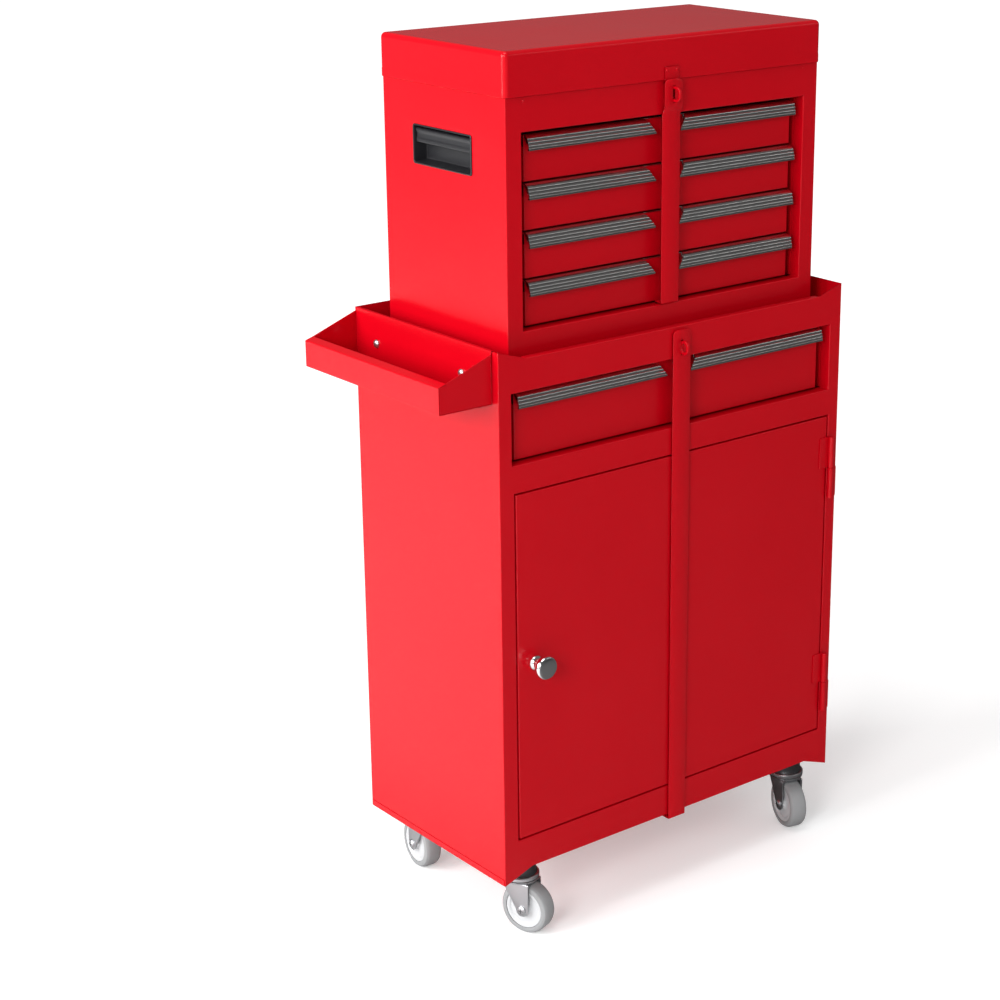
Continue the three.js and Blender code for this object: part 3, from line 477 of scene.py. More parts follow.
# ---------------------------------------------------------------- makers
def carcass(name, half, depth, columns, rows, foot, head, holes, body, stands_for, side_hole=None,
            base=0.0, front=0.0, rim=None):
    """A folded carcass: a front with openings on a grid of columns and rows, whose lowest and highest
    rows follow foot(x) and head(x); a flange back from each opening; and two sides and a back. rim is a
    folded rim's half width, reach and height."""
    x, z = np.asarray(columns, float), np.asarray(rows, float)
    height = np.repeat(z[:, None], len(x), axis=1)
    height[0], height[-1] = foot(x), head(x)
    face = np.stack(np.broadcast_arrays(x[None, :], 0.0, height), axis=-1)
    mid_x, mid_z = (x[1:] + x[:-1]) / 2, (z[1:] + z[:-1]) / 2
    keep = np.ones((len(z) - 1, len(x) - 1), bool)
    surfaces = []
    for left, right, bottom, top in holes:
        keep &= ~((left < mid_x) & (mid_x < right))[None, :] | ~((bottom < mid_z) & (mid_z < top))[:, None]
        xs, zs = x[(x >= left) & (x <= right)], z[(z >= bottom) & (z <= top)]
        for level in (bottom, top):
            surfaces.append(sheet_grid(np.stack(np.broadcast_arrays(
                xs[None, :], np.array([[0.0], [FLANGE]]), level), axis=-1)))
        for edge in (left, right):
            surfaces.append(sheet_grid(np.stack(np.broadcast_arrays(
                edge, np.array([[0.0], [FLANGE]]), zs[None, :]), axis=-1)))
    surfaces.append(sheet_grid(face, keep))
    y = np.array([0.0, *(side_hole or ())[:2], depth])
    for edge, column in ((-half, 0), (half, -1)):
        level = height[:, column:column + 1 or None]
        wall = np.stack(np.broadcast_arrays(edge, y[None, :], level), axis=-1)
        solid = np.ones((len(z) - 1, len(y) - 1), bool)
        if side_hole:
            low, high = side_hole[2:]
            solid[(mid_z > low) & (mid_z < high), 1] = False
        surfaces.append(sheet_grid(wall, solid))
    back = np.stack(np.broadcast_arrays(
        np.array([[-half, half]]), depth, height[:, :1]), axis=-1)
    surfaces.append(sheet_grid(back))
    if rim:
        inner = x[np.abs(x) <= rim[0]]
        surfaces.append(sheet_grid(np.stack(np.broadcast_arrays(
            inner[None, :], np.array([[0.0], [rim[1]]]), rim[2]), axis=-1)))
    surfaces = [moved(surface, shift=(0, front, base)) for surface in surfaces]
    return piece(name, surfaces, powder_coat(), body, stands_for, bevel=size("bend"), thickness=SHEET,
                 outward=(0, -1, 0))


def drawer_sheet(name, low, face, height, half, depth, body, stands_for):
    """A drawer folded from sheet: front, lip, sides, bottom and back, with a runner along each side."""
    lip, runner, clear, drop = 8.0, 7.0, 16.0, 13.0
    side_top = height - drop
    x, y = np.array([-half, half]), np.array([0.0, clear, depth])
    surfaces = [
        sheet_grid(np.stack(np.broadcast_arrays(
            x[None, :], 0.0, np.array([0, side_top, height])[:, None]), axis=-1)),
        sheet_grid(np.stack(np.broadcast_arrays(
            x[None, :], np.array([[0.0], [lip]]), height), axis=-1)),
        sheet_grid(np.stack(np.broadcast_arrays(x[None, :], y[:, None], 0.0), axis=-1)),
        sheet_grid(np.stack(np.broadcast_arrays(
            x[None, :], depth, np.array([[0.0], [side_top]])), axis=-1)),
    ]
    for side in (-1, 1):
        surfaces.append(sheet_grid(np.stack(np.broadcast_arrays(
            side * half, y[None, :], np.array([[0.0], [side_top]])), axis=-1)))
        surfaces.append(sheet_grid(np.stack(np.broadcast_arrays(
            np.array([[side * half], [side * (half + runner)]]), y[None, 1:], side_top), axis=-1)))
    surfaces = [moved(surface, shift=(0, face, low)) for surface in surfaces]
    return piece(name, surfaces, powder_coat(), body, stands_for, bevel=size("bend"), thickness=SHEET,
                 outward=(0, -1, 0))


def pull_outline(height):
    """The pull's section in y and z, about the drawer's top front edge: down a plain facet, then down a
    slope whose normal offset is rib height times |sin(pi ribs s)|, with s from 0 to 1 along it, round a
    plain lip, and back up inside it."""
    s = np.linspace(0, 1, 49)
    facet = np.array([[-0.9, height + 1.0], [-6.0, height - 1.7]])
    top, foot = np.array([-6.4, height - 2.2]), np.array([-9.2, height - 12.8])
    along = foot - top
    out = np.array([along[1], -along[0]]) / np.linalg.norm(along)
    ribs = size("rib_height") * np.abs(np.sin(math.pi * sizes().ribs * s))
    slope = np.vstack([facet, top + s[:, None] * along + ribs[:, None] * out])
    lip = rounded([
        [-10, height - 13.2], [-10, height - 16], [-7, height - 16], [-7, height - 14.6],
        [-8.3, height - 14.4], [-8.0, height - 12.6]], 0.7)
    inside = np.array([[-0.5, height - 1.2], [-0.5, height + 1.0]])
    return np.vstack([slope, lip, inside])


def pull(name, low, face, height, half, body, stands_for):
    """A drawer's two ribbed pulls and the clip strip that joins them, cut at a slant beside the lock bar:
    the cut stands at the gap up to the lip and leans away from it by the mitre above."""
    outline = pull_outline(height)
    gap, mitre, lip_top, slant = 18.0, 12.0, height - 14, 16.0
    lean = gap + mitre * np.clip((outline[:, 1] - lip_top) / slant, 0, 1)
    clip = rounded([[-0.6, height + 0.3], [7, height + 0.3], [7, height + 1.0], [-0.6, height + 1.0]], 0.2)
    surfaces = [carried("yz", outline, np.full(len(outline), -half), -lean),
                carried("yz", outline, lean, np.full(len(outline), half)),
                carried("yz", clip, -half, half)]
    surfaces = [moved(surface, shift=(0, face, low)) for surface in surfaces]
    return piece(name, surfaces, pull_aluminium(), body, stands_for, angle=50)


def bar_half_width(z, top, width, corner):
    """A bar's half width at height z: whole up to a corner radius below its top, then a quarter circle."""
    short = np.clip(z - (top - corner), 0, corner)
    return width / 2 - corner + np.sqrt(np.maximum(corner ** 2 - short ** 2, 0))


def lock_bar(name, node, staple_node, body, step=None):
    """A lock bar from its node's box: a strap whose head has quarter-round corners and a slot that clears
    the staple, and a tongue at its foot. step is the height where an upper part starts to stand forward."""
    low, high = corners(node)
    staple_low, staple_high = corners(staple_node)
    slot = np.array([staple_low[2] - BAR_SLACK, staple_high[2] + BAR_SLACK])
    slot_edge = (staple_high[0] - staple_low[0] + BAR_SLACK) / (high[0] - low[0])
    crown = high[2] - BAR_CORNER * (1 - np.sin(np.linspace(0, math.pi / 2, 8)))
    rise = np.array([]) if step is None else np.array([step - BAR_STEP_RUN, step])
    z = np.unique(np.concatenate([[low[2], low[2] + 12], rise, slot, crown]))
    back = 0.0 if step is None else BAR_STEP
    y = low[1] + np.where(z < (step or 0), back, 0.0)
    half = bar_half_width(z, high[2], high[0] - low[0], BAR_CORNER)
    columns = (-1, -slot_edge, slot_edge, 1)
    row = int(np.searchsorted(z, slot[0] + 0.1)) - 1
    face = strap(np.stack([y, z], axis=1), half, columns, [(row, 1)])
    tongue = strap([[y[0], low[2]], [high[1], low[2]]], half[:2], columns)
    return piece(name, [face, tongue], powder_coat(), body, (node,), bevel=BAR_FOLD, thickness=BAR_SHEET,
                 outward=(0, -1, 0))


def dome_screw(y, x, z, radius, height):
    """A round head: a cap of an ellipse, radius across and height along, about a point."""
    turn = np.linspace(0, math.pi / 2, 7)
    profile = [(radius * math.cos(t), -height * math.sin(t)) for t in turn]
    return moved(turned([(radius, 0.4), *profile], 20, "xz"), shift=(x, y, z))


def caster(label):
    """One caster: its plate, bolts and race stay on the cabinet, the fork swivels and the wheel spins."""
    swivel, spin = JOINTS[f"caster_swivel_{label}"], JOINTS[f"caster_spin_{label}"]
    axis, post, centre = np.array(spin["axis"], float), local(swivel["pos_m"]), local(spin["pos_m"])
    turn = np.array([[axis[0], -axis[1], 0], [axis[1], axis[0], 0], [0, 0, 1]])
    trail = np.linalg.norm(centre[:2] - post[:2])
    caster_mount(label, post)
    caster_fork(label, post, turn, trail, centre[2])
    caster_wheel(label, turn, centre)


def caster_mount(label, post):
    """A plate with rounded corners, four domed bolts, a bright cup turned about the post and a dark neck."""
    low, high = corners(f"caster_plate_{label}")
    x, y, foot, over = post[0], post[1], low[2], high[2]
    under = over - 2.5
    plate = ringed("xy", low[:2], high[:2], 5, [
        (0.4, under), (0, under + 0.4), (0, over - 0.4), (0.4, over)], True, True)
    bolts = [moved(turned([(0.01, under - 3), (3, under - 3), (4.4, under - 2), (4.4, under - 0.1)], 6),
                   shift=(x + a * 19, y + b * 19, 0)) for a in (-1, 1) for b in (-1, 1)]
    cup = moved(turned([(20.4, foot + 0.2), (21.6, foot + 0.6), (21.9, foot + 1.6), (21.9, foot + 4.4),
                        (21.2, foot + 5.4), (20.0, foot + 5.8)], 56), shift=(x, y, 0))
    piece(f"caster_mount_{label}", [plate, *bolts, cup], zinc_plate(), "cabinet",
          (f"caster_plate_{label}",), bevel=0.2, segments=2)
    neck = moved(turned([(19.6, foot + 5.7), (18.4, foot + 8), (18.0, foot + 11), (18.6, under - 3),
                         (20.2, under - 1.2), (20.4, under - 0.2)], 56), shift=(x, y, 0))
    piece(f"caster_neck_{label}", [neck], dark_steel_and_slot_shade(), "cabinet")


def caster_fork(label, post, turn, trail, axle_height):
    """A fork pressed from sheet: a leg's two edges run straight from the crown to a round eye about the
    axle, half = wide + (eye - wide) s, with s from 0 to 1 down the leg. A ring stands on its crown, and a
    crossed screw head closes each end of the axle; its cross slots are painted shade, flat dark crosses
    laid on the head in place of recesses."""
    inner, leg, eye, wide = 12.5, 2.0, 8.0, 18.5
    top = corners(f"caster_fork_{label}")[1][2]
    drop = top - 3.0
    down = np.linspace(0, 1, 13)
    turned_down = np.sin(np.linspace(0.15, 1, 8) * math.pi / 2)
    z = np.concatenate([drop + (axle_height - drop) * down, axle_height - eye * 0.999 * turned_down])
    half = np.concatenate([wide + (eye - wide) * down, eye * np.sqrt(1 - (0.999 * turned_down) ** 2)])
    middle = np.concatenate([-trail * down, np.full(len(turned_down), -trail)])
    across = np.array([-1, 0, 1])
    legs = []
    for side in (-1, 1):
        points = np.empty((len(z), 3, 3))
        points[..., 0] = side * (inner + leg)
        points[..., 1] = middle[:, None] + half[:, None] * across
        points[..., 2] = z[:, None]
        legs.append(sheet_grid(points))
    deck = np.empty((2, 3, 3))
    deck[..., 0] = np.array([[-inner - leg], [inner + leg]])
    deck[..., 1] = wide * across
    deck[..., 2] = drop
    place = (post[0], post[1], 0)
    piece(f"caster_fork_sheet_{label}", [moved(part, turn, place) for part in (*legs, sheet_grid(deck))],
          zinc_plate(), f"caster_fork_{label}", (f"caster_fork_{label}",), bevel=1.6, thickness=leg,
          outward=(0, 0, 1))
    crown = turned([(8, drop - 0.5), (19.5, drop - 0.3), (21.2, drop + 0.8), (21.8, top - 0.3), (21.2, top),
                    (20, top - 0.8), (8, top - 1.6)], 56)
    axle = turned([(3.0, -14), (3.0, 14)], 24, "yz", (-trail, axle_height))
    reach = 17.3
    head = ((0.01, 0), (2.4, 0), (4.6, 0.9), (5.6, 2.0), (5.8, 3.4))
    heads = [turned([(radius, side * (reach - depth)) for radius, depth in head], 28, "yz",
                    (-trail, axle_height)) for side in (-1, 1)]
    piece(f"caster_crown_{label}", [moved(part, turn, place) for part in (crown, axle, *heads)],
          zinc_plate(), f"caster_fork_{label}")
    # Painted shade: each screw's cross slot is a flat dark cross laid on the head, standing in for the shade in
    # its recess.
    bar = np.array([[-3, -0.45], [3, -0.45], [3, 0.45], [-3, 0.45]])
    crosses = [moved(carried("yz", outline, side * (reach - 0.3), side * (reach + 0.06)),
                     shift=(0, -trail, axle_height)) for side in (-1, 1) for outline in (bar, bar[:, ::-1])]
    piece(f"caster_screw_slot_shades_{label}", [moved(part, turn, place) for part in crosses], dark_steel_and_slot_shade(),
          f"caster_fork_{label}")


def caster_wheel(label, turn, centre):
    """A wheel turned about its axle: a tyre with rounded shoulders on a dished hub with a raised boss."""
    width, radius, rim = 11.0, centre[2] - 0.02, 23.8
    shoulder = [(rim + 0.2, 0.4), (rim + 1.4, 0), (radius - 4.2, 0.1), (radius - 2.0, 1.2),
                (radius - 0.7, 3.2), (radius - 0.1, 5)]
    tyre = turned_ring([(r, depth - width) for r, depth in shoulder] + [(radius, 0)]
                       + [(r, width - depth) for r, depth in shoulder[::-1]])
    piece(f"caster_tread_{label}", [moved(tyre, turn, centre)], tyre_rubber(), f"caster_wheel_{label}",
          (f"caster_tyre_{label}",))
    dish = [(3.3, -0.4), (7.0, -0.4), (7.6, 0.2), (8.2, 2.4), (10, 3.0), (18.5, 2.6), (20, 1.4), (21, 0.9),
            (rim - 0.5, 0.9), (rim, 1.4)]
    hub = turned_ring([(r, depth - width) for r, depth in dish]
                      + [(r, width - depth) for r, depth in dish[::-1]])
    piece(f"caster_rim_{label}", [moved(hub, turn, centre)], hub_nylon(), f"caster_wheel_{label}",
          (f"caster_hub_{label}",))


def turned_ring(profile, segments=72):
    """A closed profile of (radius, offset) points turned about x, joined back to its first point."""
    loops = [upright("yz", circle_loop(radius, segments), offset) for radius, offset in profile]
    return loops_skin([*loops, loops[0]])


# ---------------------------------------------------------------- operators
class TOOLCHEST_OT_finishes(bpy.types.Operator):
    """Give every piece of the frame the finish of its material slot."""
    bl_idname = "toolchest.finishes"
    bl_label = "Finishes"

    def execute(self, context):
        slots = {row["node"]: row["material_slot"] for row in frame["record"]["subparts"]}
        for name, node in frame["nodes"].items():
            node.data.materials.clear()
            node.data.materials.append(FINISH_OF_SLOT[slots[name]]())
        return {"FINISHED"}


class TOOLCHEST_OT_cabinet(bpy.types.Operator):
    """Fold the lower cabinet and its side hems."""
    bl_idname = "toolchest.cabinet"
    bl_label = "Cabinet"

    def execute(self, context):
        low, high = corners("cabinet_front_frame")
        half, depth = high[0] - 0.6, corners("cabinet_shell")[1][1]
        rail, rim, foot_x, tab_x = 99.0, 704.0, high[0] - 40, high[0] - 38
        door, drawer = (-237.5, 242.0, 136.5, 554.0), (-240.0, 240.0, 586.0, 667.0)
        columns = [-half, drawer[0], door[0], -tab_x, -foot_x, foot_x, tab_x, drawer[1], door[1], half]
        rows = [low[2], *door[2:], *drawer[2:], high[2]]
        carcass("cabinet_sheet", half, depth, columns, rows,
                lambda x: np.interp(np.abs(x), [foot_x, half], [rail, low[2]]),
                lambda x: np.interp(np.abs(x), [tab_x, half], [rim, high[2]]),
                [door, drawer], "cabinet", ("cabinet_front_frame", "cabinet_shell"), rim=(tab_x, 8.0, rim))
        hem = size("hem") - 1.5
        strip = rounded([[half - 0.1, low[2]], [half + 0.6, low[2]], [half + 0.6, low[2] + hem],
                         [half - 0.1, low[2] + hem]], 0.25)
        for side, name in ((-1, "left"), (1, "right")):
            surface = carried("xz", strip, 2.0, depth - 2)
            piece(f"cabinet_hem_{name}", [mirrored(surface) if side < 0 else surface], powder_coat(),
                  "cabinet")
        return {"FINISHED"}


class TOOLCHEST_OT_chest(bpy.types.Operator):
    """Fold the top chest and add the rivets of its front."""
    bl_idname = "toolchest.chest"
    bl_label = "Chest"

    def execute(self, context):
        low, high = corners("chest_front_frame")
        base, front = low[2], low[1]
        half, height = high[0], high[2] - low[2]
        depth = corners("chest_shell")[1][1] - front
        opening = (-206.0, 206.0, 37.7, 252.2)
        cup_rim = 2.7
        cup_low, cup_high = corners("handle_cup_right")
        hand = (cup_low[1] - front + cup_rim, cup_high[1] - front - cup_rim,
                cup_low[2] - base + cup_rim, cup_high[2] - base - cup_rim)
        columns = [-half, *opening[:2], half]
        rows = [0, opening[2], *hand[2:], opening[3], height]
        carcass("chest_sheet", half, depth, columns, rows, np.zeros_like, lambda x: np.full(len(x), height),
                [opening], "chest", ("chest_front_frame", "chest_shell"), hand, base, front)
        rivets = [dome_screw(front + 0.1, side * (half - 24), corners("lid")[0][2] - 5, 1.6, 0.8)
                  for side in (-1, 1)]
        piece("chest_rivets", rivets, powder_coat(), "chest")
        return {"FINISHED"}


class TOOLCHEST_OT_door(bpy.types.Operator):
    """Make the door pan, its hinges and its knob."""
    bl_idname = "toolchest.door"
    bl_label = "Door"

    def execute(self, context):
        low, high = corners("door")
        pivot = local(JOINTS["door_hinge"]["pos_m"])
        right, back = pivot[0] - 4.5, high[1]
        edge = size("bend") + 0.4
        corner = 1.8
        arc = [(edge * (1 - math.sin(t)), edge * (1 - math.cos(t))) for t in np.linspace(math.pi / 2, 0, 5)]
        profile = [(10, back), (edge, back), (0, back - edge), *arc]
        pan = ringed("xz", (low[0], low[2]), (right, high[2]), corner, profile)
        piece("door_pan", [pan], powder_coat(), "door", ("door",), thickness=SHEET, outward=(0, -1, 0))
        for place in ("upper", "lower"):
            start, end = corners(f"door_hinge_{place}")
            middle = (start[2] + end[2]) / 2
            self.hinge(place, "frame", pivot, start[2], middle, pivot[0] + 12, "cabinet",
                       (f"door_hinge_{place}",))
            self.hinge(place, "door", pivot, middle + 0.3, end[2], right - 12, "door", ())
        self.knob()
        return {"FINISHED"}

    def hinge(self, place, kind, pivot, low, high, reach, body, stands_for):
        """A hinge half: a turned knuckle with rounded ends, and a leaf with rounded edges."""
        r, edge = 3.5, 2.9
        knuckle = turned([(0.01, low), (edge, low), (r, low + 0.5), (r, high - 0.5), (edge, high),
                          (0.01, high)], 32, "xy", pivot[:2])
        near, far = sorted((pivot[0], reach))
        leaf = ringed("xz", (near, low), (far, high), 2.0, [
            (0.0, -0.35), (0.0, -1.3), (0.2, -1.5)], True, True)
        piece(f"hinge_{place}_{kind}", [knuckle, leaf], powder_coat(), body, stands_for)

    def knob(self):
        """A turned mushroom knob: a slightly domed face, a rounded rim, a waist and a flared foot."""
        low, high = corners("door_knob")
        x, z = (low[0] + high[0]) / 2, (low[2] + high[2]) / 2
        r, y = (high[0] - low[0]) / 2, low[1]
        bow = np.linspace(0, math.pi / 2, 9)
        profile = [(0.01, y), (r * 0.4, y + 0.15), (r * 0.7, y + 0.6), (r * 0.84, y + 1.2)]
        profile += [(r * (0.84 + 0.16 * math.sin(t)), y + 1.2 + 4.3 * (1 - math.cos(t))) for t in bow[1:]]
        profile += [
            (r * 0.97, y + 8), (r * 0.8, y + 11.5), (6.8, y + 15), (6.2, y + 17.5), (6.4, -4.6), (8.2, -2.8),
            (9, -1.4), (9, -0.3), (2.5, -0.3), (2.5, 1.2), (5, 1.2), (5, 3.8), (0.01, 4)]
        piece("door_pull_knob", [turned(profile, 64, "xz", (x, z))], polished_chrome(), "door",
              ("door_knob",))


class TOOLCHEST_OT_drawers(bpy.types.Operator):
    """Fold the drawers and give each its ribbed pulls."""
    bl_idname = "toolchest.drawers"
    bl_label = "Drawers"

    def execute(self, context):
        names = [f"chest_drawer_{number}" for number in range(1, 5)]
        for name in [*names, "base_drawer"]:
            trim = name.replace("drawer", "drawer_trim")
            low, high = corners(name)
            half = corners(trim)[1][0]
            drawer_sheet(f"{name}_sheet", low[2], low[1], high[2] - low[2], half, high[1] - low[1],
                         name, (name,))
            pull(f"{name}_pull", low[2], low[1], high[2] - low[2], half, name, (trim,))
        return {"FINISHED"}


class TOOLCHEST_OT_lid(bpy.types.Operator):
    """Press the lid and fold its tab."""
    bl_idname = "toolchest.lid"
    bl_label = "Lid"

    def execute(self, context):
        low, high = corners("lid")
        bottom, top, edge, hem = low[2], high[2], size("lid_edge"), size("hem")
        turn = np.linspace(0, math.pi / 2, 8)
        step = 0.3
        profile = [(0.3, bottom), (0, bottom + 0.4), (0, bottom + hem), (step, bottom + hem + 0.8)]
        profile += [(step + edge * (1 - math.cos(t)), top - edge * (1 - math.sin(t))) for t in turn]
        skin = ringed("xy", low[:2], high[:2], 6.5, profile)
        piece("lid_shell", [skin], powder_coat(), "lid", ("lid",), thickness=0.9, outward=(0, 0, 1))
        self.tab(bottom)
        return {"FINISHED"}

    def tab(self, bottom):
        """The lid's tab: a joggled strap with an open notch from its foot up round the staple."""
        low, high = corners("lid_tab")
        staple = corners("upper_staple")[1][2] + 2
        y_out, y_in = low[1], low[1] + 2.3
        z = np.sort([low[2], bottom - 4, bottom - 1.5, staple, bottom + 6, high[2]])
        y = np.where(z >= bottom - 2, y_out, y_in)
        half_width, notch_part = 10.0, 0.32
        notch = [(row, 1) for row in range(int(np.searchsorted(z, staple - 1e-6)))]
        face = strap(np.stack([y, z], axis=1), np.full(len(z), half_width),
                     (-1, -notch_part, notch_part, 1), notch)
        piece("lid_hasp", [face], powder_coat(), "lid", ("lid_tab",), thickness=1.1, outward=(0, -1, 0))
        rivets = [dome_screw(y_out + 0.05, side * 7.2, high[2] - 3.4, 1.7, 0.7) for side in (-1, 1)]
        piece("hasp_rivets", rivets, powder_coat(), "lid")


class TOOLCHEST_OT_bars(bpy.types.Operator):
    """Make the two lock bars and their staples."""
    bl_idname = "toolchest.bars"
    bl_label = "Lock bars"

    def execute(self, context):
        for place, body in (("upper", "chest"), ("lower", "cabinet")):
            step = corners("lid")[0][2] - 30 if place == "upper" else None
            lock_bar(f"{place}_bar", f"{place}_lock_bar", f"{place}_staple", f"{place}_lock_bar", step)
            low, high = corners(f"{place}_staple")
            loops = [rectangle_loop(low[1:] + inset, high[1:] - inset, radius, 8)
                     for inset, radius in ((0, 7.5), (3, 4.6))]
            ring = [upright("yz", loops[0], low[0]), upright("yz", loops[0], high[0]),
                    upright("yz", loops[1], high[0]), upright("yz", loops[1], low[0])]
            piece(f"{place}_staple_loop", [loops_skin([*ring, ring[0]])], powder_coat(), body,
                  (f"{place}_staple",), bevel=0.6)
        return {"FINISHED"}


class TOOLCHEST_OT_tray(bpy.types.Operator):
    """Fold the side tray and make its bolts."""
    bl_idname = "toolchest.tray"
    bl_label = "Side tray"

    def execute(self, context):
        low, high = corners("side_tray")
        floor, top, out = low[2], high[2], low[0]
        wall = corners("cabinet_front_frame")[0][0] - 0.3
        back, hook = wall - SHEET, high[0] - SHEET
        path = np.array([[hook, 705], [hook, top - SHEET], [wall, top - SHEET], [wall, floor], [out, floor],
                         [out, floor + 30.5], [out + 10, floor + 33.5]])
        y = np.array([low[1], high[1]])
        strip = np.empty((len(path), 2, 3))
        strip[..., 0], strip[..., 1], strip[..., 2] = path[:, :1], y, path[:, 1:]
        piece("tray_sheet", [sheet_grid(strip)], powder_coat(), "cabinet", ("side_tray",),
              bevel=size("bend"), thickness=SHEET, outward=(-1, 0, 0))
        end = rounded([[back, floor + 0.2], [back, 712], [out + 0.2, floor + 30],
                       [out + 0.2, floor + 0.2]], 1.5)
        for place, start in (("front", low[1]), ("back", high[1] - SHEET)):
            piece(f"tray_end_{place}", [carried("xz", end, start + 0.05, start + SHEET)], powder_coat(),
                  "cabinet", bevel=0.3, segments=2)
            bolt_low, bolt_high = corners(f"tray_bolt_{place}")
            middle = (bolt_low + bolt_high) / 2
            bow = np.linspace(0, math.pi / 2, 7)
            head = [(5 * math.sin(t), bolt_low[0] + 2.6 * (1 - math.cos(t))) for t in bow]
            shank = [(5, bolt_low[0] + 3), (2.5, bolt_low[0] + 3), (2.5, bolt_high[0] - 3.5),
                     (4.5, bolt_high[0] - 3.5), (4.5, bolt_high[0]), (0.01, bolt_high[0])]
            piece(f"tray_screw_{place}", [turned([*head, *shank], 32, "yz", middle[1:])], zinc_plate(),
                  "cabinet", (f"tray_bolt_{place}",))
        return {"FINISHED"}


class TOOLCHEST_OT_handles(bpy.types.Operator):
    """Mould the two hand cups and their grips."""
    bl_idname = "toolchest.handles"
    bl_label = "Handles"

    def execute(self, context):
        low, high = corners("handle_cup_right")
        out, deep = high[0], low[0]
        profile = [
            (1.2, out - 1.2), (1.1, out - 0.8), (1.4, out - 0.2), (1.9, out), (2.5, out), (3.0, out - 0.5),
            (3.3, out - 1.6), (4.2, deep + 4), (5.2, deep + 2), (7.5, deep + 1.3)]
        cup = ringed("yz", low[1:], high[1:], 4.5, profile)
        grip_low, grip_high = corners("handle_grip_right")
        inner = [grip_low[1] + 1.8, grip_high[1] - 1.8]
        x, z1 = (grip_low[0] + grip_high[0]) / 2, grip_high[2] - 2.8
        section = rounded([
            [x - 1.5, z1 - 11], [x - 2.3, z1 - 13.2], [x + 2.3, z1 - 13.4], [x + 2.3, z1 - 9.6],
            [x + 1.5, z1 - 8], [x + 1.5, z1 - 3], [x + 2.7, z1 - 1], [x + 2.7, z1 + 1.6], [x, z1 + 2.8],
            [x - 2.7, z1 + 1.4], [x - 1.5, z1 - 3]], 1.2)
        grip = carried("xz", section, *inner)
        pin = turned([(1.9, grip_low[1] + 0.1), (1.9, grip_high[1] - 0.1)], 20, "xz", (x, z1))
        for side, name in ((1, "right"), (-1, "left")):
            both = [mirrored(part) if side < 0 else part for part in (cup, grip, pin)]
            piece(f"hand_cup_{name}", both[:1], moulded_plastic(), "chest", (f"handle_cup_{name}",),
                  thickness=1.2, outward=(side, 0, 0))
            piece(f"hand_grip_{name}", both[1:], moulded_plastic(), f"handle_grip_{name}",
                  (f"handle_grip_{name}",), angle=50)
        return {"FINISHED"}


class TOOLCHEST_OT_casters(bpy.types.Operator):
    """Make the four casters."""
    bl_idname = "toolchest.casters"
    bl_label = "Casters"

    def execute(self, context):
        for label in CASTERS:
            caster(label)
        return {"FINISHED"}


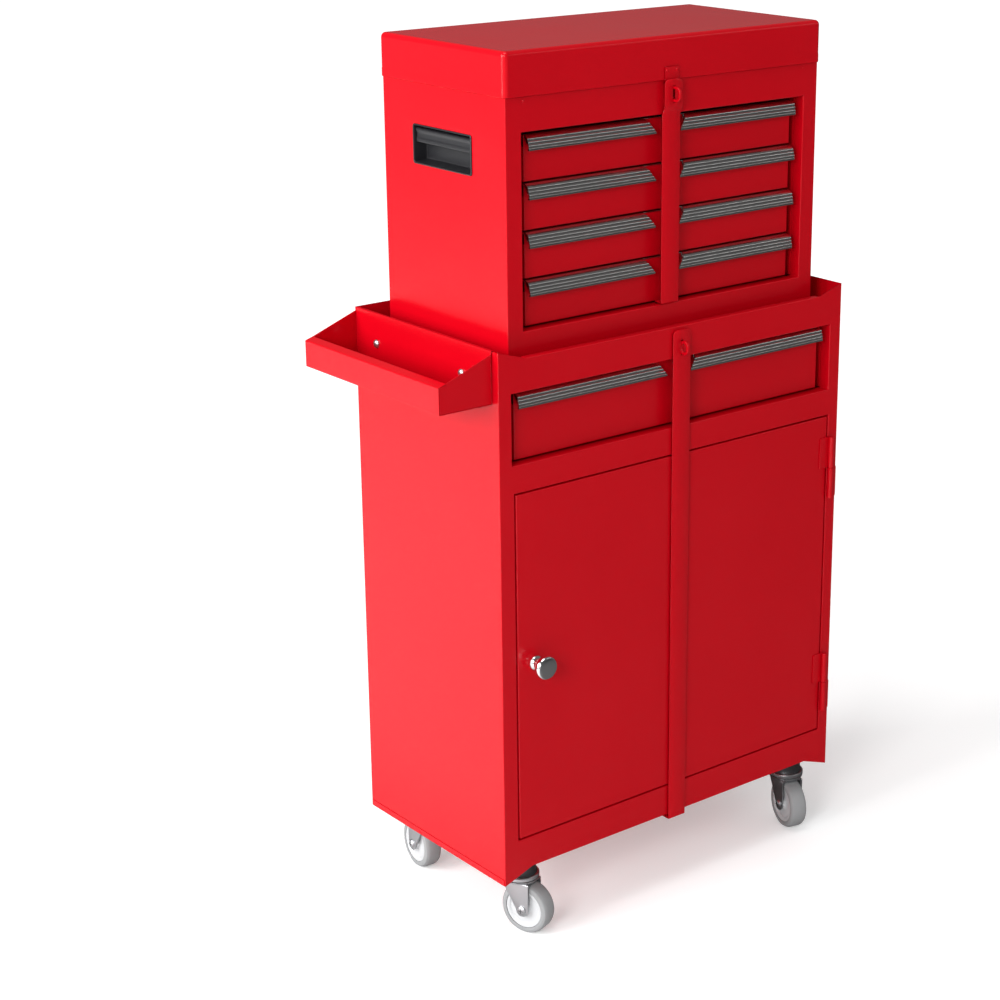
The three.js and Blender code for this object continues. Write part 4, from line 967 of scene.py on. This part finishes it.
class TOOLCHEST_OT_stage(bpy.types.Operator):
    """Set the camera, the lights, the pale floor and the white surroundings."""
    bl_idname = "toolchest.stage"
    bl_label = "Stage"

    def execute(self, context):
        scene = context.scene
        lens = bpy.data.cameras.new("camera")
        lens.lens, lens.sensor_width = 79.43, 36.0
        lens.shift_x, lens.shift_y = -0.100, -0.030
        camera = bpy.data.objects.new("camera", lens)
        camera.location = DATUM + (-1.6063, -1.8075, 1.3151)
        camera.rotation_euler = (math.pi / 2 - 0.313, 0.0, -0.689)
        scene.collection.objects.link(camera)
        scene.camera = camera
        scene.view_settings.view_transform = "Standard"
        self.world(scene)
        self.light("left_softbox", (-3.2, 0.6, 1.7), (0, 0, 0.5), (2.2, 2.2), 148)
        self.light("top_softbox", (-0.8, -0.4, 3.4), (0, 0, 0.6), (1.6, 1.6), 34)
        self.light("front_softbox", (-3.3, -2.0, 1.9), (0, 0, 0.5), (1.2, 1.2), 80)
        self.light("strip_softbox", (2.6, -2.6, 2.4), (0, 0, 0.7), (2.4, 0.35), 6)
        self.floor(scene)
        return {"FINISHED"}

    def world(self, scene):
        """White for the camera, grey for the soft light on the object and darker in its reflections."""
        world = bpy.data.worlds.new("surroundings")
        scene.world = world
        world.use_nodes = True
        tree = world.node_tree
        ray = tree.nodes.new("ShaderNodeLightPath")
        seen = calculate(tree, "MULTIPLY", ray.outputs["Is Camera Ray"], 0.6)
        mirrored_part = calculate(tree, "MULTIPLY", ray.outputs["Is Glossy Ray"], -0.35)
        strength = calculate(tree, "ADD", calculate(tree, "ADD", seen, mirrored_part), 0.5)
        tree.nodes["Background"].inputs["Color"].default_value = (1, 1, 1, 1)
        tree.links.new(strength, tree.nodes["Background"].inputs["Strength"])

    def light(self, name, place, aim, size, watts):
        """A rectangular soft light aimed at a point."""
        data = bpy.data.lights.new(name, "AREA")
        data.shape, data.size, data.size_y, data.energy = "RECTANGLE", *size, watts
        lamp = bpy.data.objects.new(name, data)
        lamp.location = place
        lamp.rotation_euler = (Vector(aim) - Vector(place)).to_track_quat("-Z", "Y").to_euler()
        bpy.context.scene.collection.objects.link(lamp)

    def floor(self, scene):
        """A wide pale floor at z = 0."""
        ground = bpy.data.meshes.new("floor")
        ground.from_pydata([(-20, -20, 0), (20, -20, 0), (20, 20, 0), (-20, 20, 0)], [], [(0, 1, 2, 3)])
        ground.materials.append(pale_floor())
        floor = bpy.data.objects.new("floor", ground)
        scene.collection.objects.link(floor)


class TOOLCHEST_PT_panel(bpy.types.Panel):
    """The tool chest's operators and settings."""
    bl_label = "Tool chest"
    bl_space_type = "VIEW_3D"
    bl_region_type = "UI"
    bl_category = "Tool chest"

    def draw(self, context):
        for group in (sizes(), colours()):
            for name in group.bl_rna.properties.keys():
                if name not in {"rna_type", "name"}:
                    self.layout.prop(group, name)
        for operator in OPERATORS:
            self.layout.operator(operator.bl_idname)


OPERATORS = (
    TOOLCHEST_OT_stage, TOOLCHEST_OT_finishes, TOOLCHEST_OT_cabinet, TOOLCHEST_OT_chest, TOOLCHEST_OT_door,
    TOOLCHEST_OT_drawers, TOOLCHEST_OT_lid, TOOLCHEST_OT_bars, TOOLCHEST_OT_tray, TOOLCHEST_OT_handles,
    TOOLCHEST_OT_casters)
CLASSES = (ToolChestSizes, ToolChestColours, *OPERATORS, TOOLCHEST_PT_panel)


def register():
    for cls in CLASSES:
        bpy.utils.register_class(cls)
    bpy.types.Scene.tool_chest_sizes = bpy.props.PointerProperty(type=ToolChestSizes)
    bpy.types.Scene.tool_chest_colours = bpy.props.PointerProperty(type=ToolChestColours)


def unregister():
    del bpy.types.Scene.tool_chest_colours
    del bpy.types.Scene.tool_chest_sizes
    for cls in reversed(CLASSES):
        bpy.utils.unregister_class(cls)


def main():
    register()
    for operator in OPERATORS:
        getattr(bpy.ops.toolchest, operator.bl_idname.split(".")[1])()


if __name__ == "__main__":
    main()
